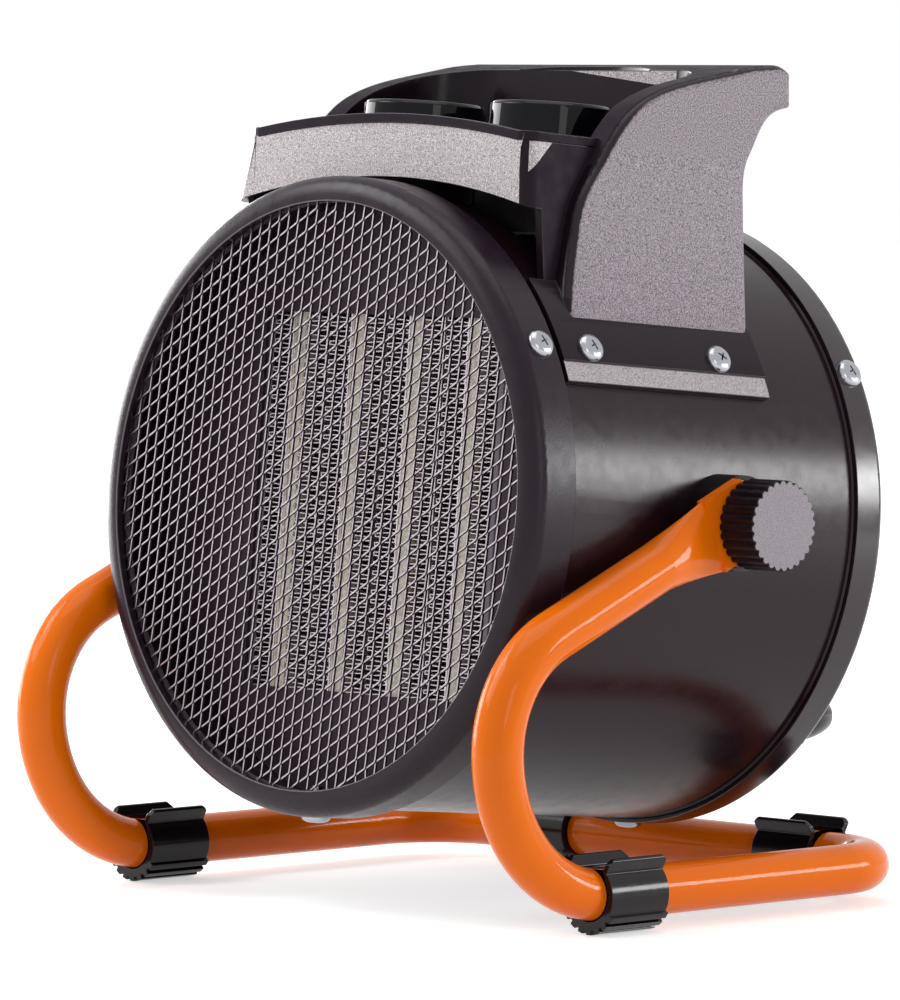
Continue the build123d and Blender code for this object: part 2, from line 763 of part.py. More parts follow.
def cheek_block():
    block = along_x(cheek_side(), -2 * cheek_top_x, 2 * cheek_top_x)
    block &= along_y(cheek_front(), -2 * cheek_top_x, 2 * cheek_top_x)
    rims = [edge for edge in block.edges() if abs(edge.center().X) > cheek_top_x - 1
            and edge.center().Z > cheek_foot[1] + 1 and not is_seam(edge)]
    return fillet(rims, cheek_edge_radius)


def is_seam(edge):
    """True for the line where the bowed and the flat part of a cheek's face meet."""
    box = edge.bounding_box()
    return box.size.Z < housing_seat and abs(box.min.Z - cheek_top_z) < housing_seat


def panel_front(z):
    """How far forward the leaning front panel is at a height."""
    lean = (panel_front_high - panel_front_low) / (panel_high_z - panel_low_z)
    return panel_front_low + (z - panel_low_z) * lean


def front_box():
    """Box behind the front panel, closed at the sides, its front leaning back."""
    low, high = cheek_foot[1], panel_high_z
    section = make_face(Polyline(
        (-panel_half(low), low), (panel_half(low), low), (panel_half(high), high),
        (-panel_half(high), high), close=True))
    side = make_face(Polyline(
        (panel_front(low), low), (panel_front(high), high), (0, high), (0, low), close=True))
    box = along_x(side, -panel_half(low), panel_half(low))
    box &= along_y(section, panel_front(low), 0)
    corners = [edge for edge in box.edges() if edge.center().Y < panel_front(high) + 1
               and abs(edge.center().X) > panel_half(high) - 1
               and edge.bounding_box().size.Z > high - low - 1]
    return fillet(corners, panel_corner_radius)


def arched_band(half, height):
    """Band of a height below the panel's arched top edge, flat at both ends, in (x, z)."""
    arch_half = panel_half_high - panel_corner_radius
    rise = panel_high_z + panel_crown
    top = Line((-half, panel_high_z), (-arch_half, panel_high_z))
    top += ThreePointArc((-arch_half, panel_high_z), (0, rise), (arch_half, panel_high_z))
    top += Line((arch_half, panel_high_z), (half, panel_high_z))
    drop = panel_high_z - height
    return make_face(top + Polyline((half, panel_high_z), (half, drop), (-half, drop),
                                    (-half, panel_high_z)))


def crown():
    """The panel's arched top edge, a thin raised wall along the front."""
    half = panel_half_high - panel_corner_radius / 2
    rear, roof = panel_front_high + housing_wall, panel_high_z + 2 * panel_crown
    wall = make_face(Polyline((panel_front(deck_top), deck_top), (panel_front(roof), roof),
                              (rear, roof), (rear, deck_top), close=True))
    arched = along_y(arched_band(half, panel_high_z - deck_top), 2 * panel_front_low, 0)
    return arched & along_x(wall, -half, half)


def crown_rim():
    """Raised rim that follows the arched edge and goes on round both corners."""
    half = panel_half_high + panel_rim_proud
    front = panel_front_high - panel_rim_proud

    def plan(side, start, radius):
        block = Pos(0, (start + panel_rim_rear) / 2) * Rectangle(2 * side, panel_rim_rear - start)
        corners = block.vertices().group_by(Axis.Y)[0]
        return fillet(corners, radius)

    ring = plan(half, front, panel_corner_radius + panel_rim_proud)
    ring -= plan(half - housing_wall, front + housing_wall, panel_corner_radius - panel_rim_proud)
    ring = extrude(Plane.XY.offset(deck_top) * ring, amount=panel_crown + panel_high_z - deck_top)
    arched = arched_band(2 * half, panel_high_z - deck_top)
    arched -= Pos(0, -panel_rim) * arched_band(2 * half, panel_high_z - deck_top)
    return ring & along_y(arched, 2 * front, 0)


def wells():
    """Room above the deck, with wide round corners at the back."""
    high_half = cheek_inner_x
    low_half = min(panel_half_high - housing_wall, high_half)
    front = panel_front_high + housing_wall

    def well(half, start, bottom, top, radius):
        plan = Pos(0, (start + well_rear) / 2) * Rectangle(2 * half, well_rear - start)
        room = extrude(Plane.XY.offset(bottom) * plan, amount=top - bottom)
        rear = [edge for edge in room.edges().filter_by(Axis.Z) if edge.center().Y > well_rear - 1]
        return fillet(rear, radius)

    low = well(low_half, front, deck_top, panel_high_z, well_corner_radius - housing_wall)
    high = well(high_half, 2 * front, panel_high_z, 2 * panel_high_z, well_corner_radius)
    return low + high


def under_deck():
    """Hollow below the deck, down to the barrel."""
    low, high = cheek_foot[1], deck_top - deck_thickness
    front = panel_front_high + housing_wall
    section = make_face(Polyline(
        (-panel_half(low) + housing_wall, low), (panel_half(low) - housing_wall, low),
        (panel_half(high) - housing_wall, high), (-panel_half(high) + housing_wall, high), close=True))
    return along_y(section, front, well_rear - housing_wall / 2)


def panel_arch():
    """Clears the lower edge of the front panel along a flat arch."""
    half = panel_half_low
    radius = (half ** 2 + panel_arch_drop ** 2) / (2 * panel_arch_drop)
    round_cut = Pos(0, panel_arch_mid - radius) * Circle(radius)
    room = Pos(0, panel_arch_mid - radius / 2) * Rectangle(4 * half, radius)
    front = panel_front_high + housing_wall + 1
    return along_y(round_cut & room, 2 * panel_front_low, front)


def flange(side):
    """Curved strip that sits on the barrel and takes the side screws."""
    seat = barrel_radius + housing_seat

    def sector(start, end, thickness):
        inner = [polar(seat, side * a) for a in (start, (start + end) / 2, end)]
        outer = [polar(seat + thickness, side * a) for a in (start, (start + end) / 2, end)]
        face = make_face(ThreePointArc(*inner) + Line(inner[2], outer[2])
                         + ThreePointArc(*reversed(outer)) + Line(outer[0], inner[0]))
        return along_y(face, flange_front, flange_rear)

    strip = sector(flange_inner_angle, flange_angle, flange_thickness)
    strip += sector(flange_angle, flange_lip_angle, flange_lip_thickness)
    return strip


def scoop():
    """Crescent thumb scoop in the front of the handle's top edge."""
    radius = (scoop_width ** 2 / 4 + scoop_depth ** 2) / (2 * scoop_depth)
    centre = Pos(0, well_rear + scoop_reach - radius, barrel_radius + scoop_floor)
    return extrude(centre * Circle(radius), amount=scoop_width)


def control_housing():
    """Cheeks, handle, deck and front panel in one moulding."""
    body = cheek_block() + front_box()
    body -= wells()
    body -= under_deck()
    body += crown()
    body += crown_rim()
    body -= panel_arch()
    body -= scoop()
    body -= disc(barrel_radius + housing_seat, -3 * barrel_radius, 3 * barrel_radius)
    body += flange(1)
    body += flange(-1)
    for side in (-1, 1):
        body -= Pos(side * dial_x, dial_y, deck_top) * Cylinder(
            spindle_radius + spindle_hole_fit, 4 * deck_thickness)
        for y in housing_screw_ys:
            body -= screw_hole(screw_shank_radius + screw_clearance, side * housing_screw_angle, y)
    return body


# ------------------------------------------------------------------ controls

def dial(side):
    """Skirted dial with a finely fluted grip on two opposite sides."""
    bottom = deck_top + dial_gap
    height = dial_top - bottom
    low, high = dial_radius, dial_radius - dial_draft
    skirt = [(0, 0), (low, 0), (high, height - dial_bevel), (high - dial_bevel, height), (0, height)]
    knob = revolve(Plane.XZ * make_face(Polyline(*skirt, close=True)), Axis.Z)
    inside = [(0, -1), (low - dial_wall, -1), (high - dial_wall, height - dial_wall),
              (0, height - dial_wall)]
    knob -= revolve(Plane.XZ * make_face(Polyline(*inside, close=True)), Axis.Z)
    knob += Pos(0, 0, height / 2) * Cylinder(spindle_radius + dial_wall, height)
    reach = high + grip_flute_width / 2 - grip_flute_depth
    flute = Pos(reach, 0) * Rectangle(grip_flute_width, grip_flute_width)
    turns = [grip_angle + half_turn + (i - (grip_flutes - 1) / 2) * grip_flute_pitch
             for half_turn in (0, 180) for i in range(grip_flutes)]
    flutes = Sketch() + [Rot(0, 0, turn) * flute for turn in turns]
    knob -= extrude(Plane.XY.offset(dial_wall) * flutes, amount=height)
    knob -= Cylinder(spindle_radius + screw_hole_fit, 2 * spindle_seat)
    return Pos(side * dial_x, dial_y, bottom) * knob


def spindle(side):
    top = deck_top + dial_gap + spindle_seat - screw_hole_fit
    bottom = deck_top - deck_thickness - spindle_seat
    middle = (top + bottom) / 2
    return Pos(side * dial_x, dial_y, middle) * Cylinder(spindle_radius, top - bottom)


def control_bore(side):
    top = deck_top - deck_thickness
    return Pos(side * dial_x, dial_y, top) * Cylinder(
        spindle_radius + shaft_fit, 2 * (spindle_seat + spindle_hole_fit))


def thermostat_body():
    top = deck_top - deck_thickness
    body = Pos(dial_x, dial_y, top - control_depth / 2) * Box(*thermostat_size, control_depth)
    for side in (-1, 1):
        tab = Box(tab_thickness, tab_width, tab_length)
        body += Pos(dial_x + side * thermostat_size[0] / 4, dial_y, top - control_depth) * tab
    return body - control_bore(1)


def selector_switch():
    top = deck_top - deck_thickness
    body = Pos(-dial_x, dial_y, top - control_depth / 2) * Cylinder(switch_radius, control_depth)
    for i in range(switch_tabs):
        x, y = polar(switch_radius / 2, 360 * (i + 0.5) / switch_tabs)
        tab = Box(tab_width, tab_thickness, tab_length)
        body += Pos(x - dial_x, y + dial_y, top - control_depth) * tab
    return body - control_bore(-1)


# ------------------------------------------------------------------ tilt clamps

spacer_end = paddle_outer_face - paddle_thickness - clamp_gap


def to_side(shape, side):
    """Turn a shape drawn along +Z so that it points outwards on one side."""
    return Rot(0, 90 * side, 0) * shape


def pivot_spacer(side):
    length = spacer_end - barrel_radius / 2
    blank = Pos(0, 0, spacer_end - length / 2) * Cylinder(spacer_radius, length)
    blank -= Pos(0, 0, spacer_end) * Cylinder(stud_radius + screw_clearance, 4 * length)
    return to_side(blank, side) - disc(barrel_radius + housing_seat, -barrel_radius, barrel_radius)


def pivot_insert(side):
    corner = insert_across / sqrt(3)
    top = sqrt((barrel_radius - barrel_wall) ** 2 - corner ** 2) - cover_fit
    nut = Pos(0, 0, top - insert_thickness / 2) * extrude(
        RegularPolygon(insert_across / 2, 6, major_radius=False), amount=insert_thickness / 2, both=True)
    nut -= Pos(0, 0, top) * Cylinder(stud_radius + stud_fit, 4 * insert_thickness)
    return to_side(nut, side)


def fluted(radius, count, depth):
    """Round outline with evenly spaced V flutes."""
    points = []
    for i in range(count):
        for share, at in ((-0.3, radius), (0.0, radius - depth), (0.3, radius)):
            points.append(polar(at, 360 * (i + share) / count))
    return make_face(Polyline(*points, close=True))


def clamp_knob(side):
    """Fluted hand knob that squeezes the stand's flat end."""
    start = paddle_outer_face + clamp_gap
    knob = extrude(fluted(clamp_knob_radius, clamp_flutes, clamp_flute_depth), amount=clamp_knob_length)
    knob -= Cylinder(stud_radius + screw_hole_fit, 2 * stud_seat)
    return to_side(Pos(0, 0, start) * knob, side)


def clamp_stud(side):
    start = barrel_radius - stud_reach
    end = paddle_outer_face + clamp_gap + stud_seat - screw_hole_fit
    rod = Pos(0, 0, (start + end) / 2) * Cylinder(stud_radius, end - start)
    return to_side(rod, side)


# ------------------------------------------------------------------ cable entry

def cable_gland():
    """Hexagon flange and domed cap, open for a cable; its thread passes the rear cover."""
    gland = along_y(RegularPolygon(gland_hex_radius, 6), cover_rear, cover_rear + gland_hex_length)
    shoulder = cover_rear + gland_hex_length
    middle = (shoulder + gland_tip) / 2
    dome = ThreePointArc((gland_dome_radius, shoulder), (gland_dome_radius * 0.88, middle),
                         (gland_bore + 1, gland_tip))
    outline = dome + Polyline((gland_bore + 1, gland_tip), (0, gland_tip), (0, shoulder),
                              (gland_dome_radius, shoulder))
    gland += revolve(make_face(outline), Axis.Y)
    gland += disc(gland_thread_radius, cover_rear - cover_face - gland_nut_length, cover_rear)
    gland -= disc(gland_bore, 0, 2 * gland_tip)
    return Pos(gland_x, 0, gland_z) * gland


def gland_nut():
    rear = cover_rear - cover_face
    nut = along_y(RegularPolygon(gland_hex_radius, 6), rear - gland_nut_length, rear)
    nut -= disc(gland_thread_radius + screw_hole_fit, 0, 2 * rear)
    return Pos(gland_x, 0, gland_z) * nut


def terminal_block():
    """Screw terminals on the floor of the barrel, between the core and the fan."""
    width, depth, height = terminal_size
    floor = barrel_radius - barrel_wall - housing_seat
    top = height - floor
    body = Pos(0, terminal_rear - depth / 2, top - height) * Box(width, depth, 2 * height)
    body &= disc(floor, -barrel_radius, barrel_radius)
    for i in range(terminal_screws):
        x = (i - (terminal_screws - 1) / 2) * width / terminal_screws
        body -= Pos(x, terminal_rear - depth / 2, top) * Cylinder(terminal_hole_radius, height)
    return body


# ------------------------------------------------------------------ export

def save(node, shape, place):
    solids = shape if isinstance(shape, list) else [shape]
    loose = [solid for item in solids for solid in item.solids()]
    export_step(place * (loose[0] if len(loose) == 1 else Compound(loose)), f"parts/{node}.step")


def ring_screws(seat, y):
    return [screw(seat, angle, y) for angle in ring_screw_angles]


def housing_screws():
    seat = barrel_radius + housing_seat + flange_thickness
    return [screw(seat, side * housing_screw_angle, y) for side in (-1, 1) for y in housing_screw_ys]


save("stand_tube", stand_tube(), pivot)
save("front_right_foot", side_foot(1), pivot)
save("front_left_foot", side_foot(-1), pivot)
save("rear_right_foot", rear_foot(rear_right_foot_x), pivot)
save("rear_left_foot", rear_foot(rear_left_foot_x), pivot)

head_parts = {
    "barrel_shell": barrel_shell(),
    "front_bezel": front_bezel(),
    "front_grille": front_grille(),
    "grille_ring": grille_ring(),
    "bezel_screws": ring_screws(bezel_radius, bezel_screw_y),
    "rear_cover": rear_cover(),
    "rear_cover_screws": ring_screws(band_radius, cover_screw_y),
    "core_baffle": core_baffle(),
    "core_top_cap": core_cap(1),
    "core_bottom_cap": core_cap(-1),
    "core_right_upright": core_upright(1),
    "core_left_upright": core_upright(-1),
    "thermal_cutout": thermal_cutout(),
    "fan_motor": fan_motor(),
    "motor_bracket": motor_bracket(),
    "motor_screws": motor_screws(),
    "motor_shaft": motor_shaft(),
    "fan_impeller": fan_impeller(),
    "control_housing": control_housing(),
    "housing_screws": housing_screws(),
    "thermostat_body": thermostat_body(),
    "selector_switch": selector_switch(),
    "thermostat_spindle": spindle(1),
    "selector_spindle": spindle(-1),
    "thermostat_dial": dial(1),
    "selector_dial": dial(-1),
    "cable_gland": cable_gland(),
    "gland_nut": gland_nut(),
    "terminal_block": terminal_block(),
}
for name, side in (("right", 1), ("left", -1)):
    head_parts[f"{name}_pivot_spacer"] = pivot_spacer(side)
    head_parts[f"{name}_pivot_insert"] = pivot_insert(side)
    head_parts[f"{name}_clamp_knob"] = clamp_knob(side)
    head_parts[f"{name}_clamp_stud"] = clamp_stud(side)
for index in range(module_count):
    x = module_x(index)
    head_parts[f"ptc_strip_{index + 1}"] = ptc_strip(x)
    head_parts[f"fin_pack_{2 * index + 1}"] = fin_pack(x, -1)
    head_parts[f"fin_pack_{2 * index + 2}"] = fin_pack(x, 1)

for node, shape in head_parts.items():
    save(node, shape, head_place)
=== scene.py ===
import json
from math import atan2, cos, degrees, hypot, pi, radians, sin, tan

import bmesh
import bpy
from mathutils import Matrix, Vector
from mathutils.bvhtree import BVHTree

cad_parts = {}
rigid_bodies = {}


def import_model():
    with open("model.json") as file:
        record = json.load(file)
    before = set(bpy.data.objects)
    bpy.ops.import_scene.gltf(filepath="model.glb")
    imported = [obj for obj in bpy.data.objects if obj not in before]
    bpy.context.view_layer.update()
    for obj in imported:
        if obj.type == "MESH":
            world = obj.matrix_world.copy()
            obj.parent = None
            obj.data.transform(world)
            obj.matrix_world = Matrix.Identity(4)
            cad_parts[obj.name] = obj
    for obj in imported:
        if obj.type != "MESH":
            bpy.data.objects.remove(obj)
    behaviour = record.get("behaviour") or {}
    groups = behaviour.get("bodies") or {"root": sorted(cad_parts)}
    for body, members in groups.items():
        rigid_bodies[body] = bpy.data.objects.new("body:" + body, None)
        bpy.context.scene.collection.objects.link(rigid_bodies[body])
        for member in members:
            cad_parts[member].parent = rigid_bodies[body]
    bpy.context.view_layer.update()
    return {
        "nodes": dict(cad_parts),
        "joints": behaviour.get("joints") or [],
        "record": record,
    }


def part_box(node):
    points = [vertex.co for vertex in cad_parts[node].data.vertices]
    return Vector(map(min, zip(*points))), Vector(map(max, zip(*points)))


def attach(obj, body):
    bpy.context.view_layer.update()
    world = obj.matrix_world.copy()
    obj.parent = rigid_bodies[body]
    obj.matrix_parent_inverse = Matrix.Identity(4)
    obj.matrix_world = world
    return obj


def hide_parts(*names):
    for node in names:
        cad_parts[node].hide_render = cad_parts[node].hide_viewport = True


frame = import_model()
nodes = frame["nodes"]
mm = 0.001
print("frame loaded")


# where the head is: its pivot and its tilt, read from the frame's joints

tiltJoint = next(joint for joint in frame["joints"] if joint["name"] == "head_tilt")
fanJoint = next(joint for joint in frame["joints"] if joint["name"] == "fan_spin")
pivot = Vector(tiltJoint["pos_m"])
headTilt = atan2(-fanJoint["axis"][2], fanJoint["axis"][1])
headPlace = Matrix.Translation(pivot) @ Matrix.Rotation(-headTilt, 4, "X")


# studio

cameraView = {"yaw": 46.607, "pitch": 3.352, "distance": 2.486, "right": -0.01684, "up": 0.00274,
              "focal": 7752.7, "sensor": 36.0, "longSide": 1000, "farClip": 20}


def makeCamera(v):
    yaw, pitch = radians(v["yaw"]), radians(v["pitch"])
    back = Vector((sin(yaw) * cos(pitch), -cos(yaw) * cos(pitch), sin(pitch)))
    right = Vector((cos(yaw), sin(yaw), 0))
    up = back.cross(right)
    place = Matrix((right, up, back)).transposed().to_4x4()
    place.translation = pivot + v["distance"] * back + v["right"] * right + v["up"] * up
    data = bpy.data.cameras.new("photoCamera")
    data.sensor_width = v["sensor"]
    data.lens = v["focal"] * v["sensor"] / v["longSide"]
    data.clip_end = v["farClip"]
    camera = bpy.data.objects.new("photoCamera", data)
    camera.matrix_world = place
    bpy.context.scene.collection.objects.link(camera)
    bpy.context.scene.camera = camera


lamps = {
    "rearSoftbox": {"at": (1.18, 1.14, 0.375), "size": (0.9, 0.27), "power": 11.5, "aim": (0.05, 0, 0.16)},
    "leftSoftbox": {"at": (-0.9, -1.05, 1.2), "size": (0.9, 0.9), "power": 10, "aim": (0, 0, 0.15)},
    "leftEdgeBox": {"at": (-1.50, 0.10, 0.34), "size": (1.6, 0.6), "power": 19, "aim": (0, 0, 0.15)},
    "nearLamp": {"at": (-0.45, -0.30, 0.64), "size": (0.25, 0.25), "power": 0.9, "aim": (0, 0, 0.2)},
    "topSoftbox": {"at": (0.1, -0.1, 1.6), "size": (1.2, 1.0), "power": 6, "aim": (0, 0, 0.12)},
    "rightFill": {"at": (1.9, -0.75, 0.75), "size": (0.5, 0.8), "power": 3, "aim": (0, 0, 0.10)},
}


def makeLamps(rows):
    for name, row in rows.items():
        data = bpy.data.lights.new(name, "AREA")
        data.shape = "RECTANGLE"
        data.size, data.size_y = row["size"]
        data.energy = row["power"]
        lamp = bpy.data.objects.new(name, data)
        lamp.visible_camera = False
        aim = Vector(row["aim"]) - Vector(row["at"])
        lamp.matrix_world = Matrix.Translation(row["at"]) @ aim.to_track_quat("-Z", "Y").to_matrix().to_4x4()
        bpy.context.scene.collection.objects.link(lamp)


studio = {"floorSize": 12.0, "floorDrop": 0.2 * mm, "floorColour": 0.85, "floorRoughness": 0.9,
          "skyLight": 0.36, "floorWhite": 0.55, "whiteFrom": 0.35, "whiteTo": 1.0}


def rampNode(finish, value, low, high, lowTo=0.0, highTo=1.0):
    node = finish.node_tree.nodes.new("ShaderNodeMapRange")
    for key, number in (("From Min", low), ("From Max", high), ("To Min", lowTo), ("To Max", highTo)):
        node.inputs[key].default_value = number
    finish.node_tree.links.new(value, node.inputs["Value"])
    return node.outputs["Result"]


def mathNode(tree, operation, first, second):
    node = tree.nodes.new("ShaderNodeMath")
    node.operation = operation
    tree.links.new(first, node.inputs[0])
    tree.links.new(second, node.inputs[1])
    return node.outputs[0]


def seenDirectly(tree):
    path = tree.nodes.new("ShaderNodeLightPath")         # straight, by a mirror or through glass
    seen = path.outputs["Is Camera Ray"]
    for kind in ("Is Glossy Ray", "Is Transmission Ray"):
        seen = mathNode(tree, "MAXIMUM", seen, path.outputs[kind])
    return seen


def makeSky(s):
    world = bpy.data.worlds.new("studioWorld")
    world.use_nodes = True
    tree = world.node_tree
    sky = tree.nodes["Background"]
    sky.inputs["Color"].default_value = (1, 1, 1, 1)
    level = rampNode(world, seenDirectly(tree), 0, 1, s["skyLight"], 1.0)
    tree.links.new(level, sky.inputs["Strength"])
    bpy.context.scene.world = world


def makeFloor(s):
    bpy.ops.object.select_all(action="DESELECT")
    bpy.ops.mesh.primitive_plane_add(size=s["floorSize"])
    floor = bpy.context.object
    floor.data.transform(Matrix.Translation((0, 0, -s["floorDrop"])))
    floor.name = "studioFloor"
    paper = bpy.data.materials.new("floorPaper")
    paper.use_nodes = True
    tree = paper.node_tree
    shader = tree.nodes["Principled BSDF"]
    shader.inputs["Base Color"].default_value = (s["floorColour"],) * 3 + (1,)
    shader.inputs["Roughness"].default_value = s["floorRoughness"]
    shader.inputs["Specular IOR Level"].default_value = 0.0
    away = tree.nodes.new("ShaderNodeVectorMath")        # the paper whitens away from the heater
    away.operation = "LENGTH"
    tree.links.new(tree.nodes.new("ShaderNodeTexCoord").outputs["Object"], away.inputs[0])
    level = rampNode(paper, away.outputs["Value"], s["whiteFrom"], s["whiteTo"], s["floorWhite"], 1.0)
    glow = tree.nodes.new("ShaderNodeEmission")
    tree.links.new(mathNode(tree, "MULTIPLY", seenDirectly(tree), level), glow.inputs["Strength"])
    both = tree.nodes.new("ShaderNodeAddShader")
    tree.links.new(shader.outputs["BSDF"], both.inputs[0])
    tree.links.new(glow.outputs["Emission"], both.inputs[1])
    tree.links.new(both.outputs["Shader"], tree.nodes["Material Output"].inputs["Surface"])
    floor.data.materials.append(paper)


bpy.context.scene.view_settings.view_transform = "Standard"
makeCamera(cameraView)
makeLamps(lamps)
makeSky(studio)
makeFloor(studio)
print("studio ready")


# finishes: each pattern is scaled per millimetre of the piece

finishes = {}


def newFinish(name, colour, roughness, metallic=0.0, specular=0.5):
    finish = bpy.data.materials.new(name)
    finish.use_nodes = True
    shader = finish.node_tree.nodes["Principled BSDF"]
    shader.inputs["Base Color"].default_value = (*colour, 1)
    shader.inputs["Roughness"].default_value = roughness
    shader.inputs["Metallic"].default_value = metallic
    shader.inputs["Specular IOR Level"].default_value = specular
    finishes[name] = finish
    return finish


def placeNodes(finish):
    tree = finish.node_tree
    coordinates = tree.nodes.new("ShaderNodeTexCoord")
    mapping = tree.nodes.new("ShaderNodeMapping")
    mapping.inputs["Scale"].default_value = (1 / mm, 1 / mm, 1 / mm)
    tree.links.new(coordinates.outputs["Object"], mapping.inputs["Vector"])
    return mapping.outputs["Vector"]


def noiseNode(finish, vector, scale, detail, rough=0.5):
    node = finish.node_tree.nodes.new("ShaderNodeTexNoise")
    node.inputs["Scale"].default_value = scale
    node.inputs["Detail"].default_value = detail
    node.inputs["Roughness"].default_value = rough
    finish.node_tree.links.new(vector, node.inputs["Vector"])
    return node.outputs["Fac"]


def drive(finish, value, socket):
    finish.node_tree.links.new(value, finish.node_tree.nodes["Principled BSDF"].inputs[socket])


def addBump(finish, height, strength, distance):
    bump = finish.node_tree.nodes.new("ShaderNodeBump")
    bump.inputs["Strength"].default_value = strength
    bump.inputs["Distance"].default_value = distance
    finish.node_tree.links.new(height, bump.inputs["Height"])
    drive(finish, bump.outputs["Normal"], "Normal")


def mixColour(finish, share, first, second):
    tree = finish.node_tree
    mix = tree.nodes.new("ShaderNodeMix")
    mix.data_type = "RGBA"
    mix.inputs[6].default_value = (*first, 1)
    mix.inputs[7].default_value = (*second, 1)
    tree.links.new(share, mix.inputs[0])
    drive(finish, mix.outputs[2], "Base Color")


# coats and mouldings: clouded colour, a rubbed sheen and an orange peel

powderCoats = {
    "orangePowder": {"colour": (0.97, 0.190, 0.002), "darker": (0.90, 0.168, 0.002),
                     "roughness": 0.11, "peel": 0.6, "shine": 0.16, "rise": 0.12},
    "barrelBlack": {"colour": (0.017, 0.006, 0.011), "darker": (0.013, 0.005, 0.009),
                    "roughness": 0.24, "peel": 1.4, "shine": 0.25, "rise": 0.03},
    "coverBlack": {"colour": (0.018, 0.008, 0.013), "darker": (0.014, 0.006, 0.010),
                   "roughness": 0.20, "peel": 1.4, "shine": 0.55, "rise": 0.03},
    "bezelSatin": {"colour": (0.019, 0.010, 0.018), "darker": (0.015, 0.008, 0.014),
                   "roughness": 0.30, "peel": 1.6, "shine": 0.20, "rise": 0.08},
    "innerBlack": {"colour": (0.058, 0.031, 0.048), "darker": (0.042, 0.022, 0.034),
                   "roughness": 0.5, "peel": 1.0, "shine": 0.3, "rise": 0.12},
    "clipBlack": {"colour": (0.008, 0.005, 0.007), "darker": (0.005, 0.003, 0.005),
                  "roughness": 0.16, "peel": 0.5, "shine": 0.3, "rise": 0.06},
    "dialGloss": {"colour": (0.003, 0.002, 0.006), "darker": (0.003, 0.002, 0.005),
                  "roughness": 0.05, "peel": 0.2, "shine": 0.18, "rise": 0.03},
    "heatPlastic": {"colour": (0.05, 0.04, 0.045), "darker": (0.035, 0.028, 0.032),
                    "roughness": 0.55, "peel": 0.8, "shine": 0.3, "rise": 0.12},
    "housingSmooth": {"colour": (0.014, 0.007, 0.012), "darker": (0.011, 0.005, 0.009),
                      "roughness": 0.20, "peel": 0.4, "shine": 0.15, "rise": 0.06},
    "mouldMatte": {"colour": (0.022, 0.015, 0.023), "darker": (0.017, 0.012, 0.018),
                   "roughness": 0.55, "peel": 0.9, "shine": 0.06, "rise": 0.1},
    # a pale finish for the collar's lip edge: a painted highlight
    "lipPaintedHighlight": {"colour": (0.17, 0.145, 0.165), "darker": (0.10, 0.085, 0.095),
                 "roughness": 0.30, "peel": 1.0, "shine": 0.4, "rise": 0.12},
    "knobSide": {"colour": (0.010, 0.006, 0.009), "darker": (0.007, 0.004, 0.006),
                 "roughness": 0.28, "peel": 0.8, "shine": 0.2, "rise": 0.12},
    # the strands' sides: sheared edges, darkened also as painted shade
    "shearedEdgeAndShade": {"colour": (0.034, 0.020, 0.030), "darker": (0.022, 0.013, 0.019),
                    "roughness": 0.6, "peel": 2.0, "shine": 0.2, "rise": 0.12},
}
coatPattern = {"clouds": 0.05, "rubs": 0.2, "rubFrom": 0.3, "rubTo": 0.7, "uneven": 0.15, "height": 0.4 * mm}


def powderCoat(name, c, p):
    finish = newFinish(name, c["colour"], c["roughness"], specular=c["shine"])
    vector = placeNodes(finish)
    mixColour(finish, noiseNode(finish, vector, p["clouds"], 2), c["darker"], c["colour"])
    sheen = rampNode(finish, noiseNode(finish, vector, p["rubs"], 3), p["rubFrom"], p["rubTo"],
                     c["roughness"] * (1 - p["uneven"]), c["roughness"] * (1 + p["uneven"]))
    drive(finish, sheen, "Roughness")
    addBump(finish, noiseNode(finish, vector, c["peel"], 2), c["rise"], p["height"])


# metals: plated, drawn and rolled

metals = {
    "zincPlate": {"colour": (0.42, 0.43, 0.46), "roughness": 0.20, "grain": 1.5},
    "meshSteel": {"colour": (0.45, 0.39, 0.43), "roughness": 0.36, "grain": 2.0},
    "coreAluminium": {"colour": (0.86, 0.79, 0.81), "roughness": 0.40, "grain": 1.2},
    "shaftSteel": {"colour": (0.6, 0.6, 0.62), "roughness": 0.3, "grain": 1.0},
    "frameGrey": {"colour": (0.19, 0.17, 0.19), "roughness": 0.45, "grain": 1.4},
}
metalPattern = {"darker": 0.82, "dullFrom": 0.3, "dullTo": 0.7, "uneven": 0.3, "rise": 0.08, "height": 0.2 * mm}


def metalFinish(name, m, p):
    finish = newFinish(name, m["colour"], m["roughness"], metallic=1.0)
    streaks = noiseNode(finish, placeNodes(finish), m["grain"], 3)
    mixColour(finish, streaks, [share * p["darker"] for share in m["colour"]], m["colour"])
    dullness = rampNode(finish, streaks, p["dullFrom"], p["dullTo"],
                        m["roughness"] * (1 - p["uneven"]), m["roughness"] * (1 + p["uneven"]))
    drive(finish, dullness, "Roughness")
    addBump(finish, streaks, p["rise"], p["height"])


ceramic = {"colour": (0.80, 0.72, 0.63), "dark": (0.62, 0.55, 0.46), "light": (0.98, 0.90, 0.80), "roughness": 0.55,
           "clouds": 0.7, "low": 0.35, "high": 0.65, "pits": 2.0, "rise": 0.3, "height": 0.2 * mm}


def ceramicFinish(name, c):
    finish = newFinish(name, c["colour"], c["roughness"])
    vector = placeNodes(finish)
    clouds = rampNode(finish, noiseNode(finish, vector, c["clouds"], 5), c["low"], c["high"])
    mixColour(finish, clouds, c["dark"], c["light"])
    addBump(finish, noiseNode(finish, vector, c["pits"], 2), c["rise"], c["height"])
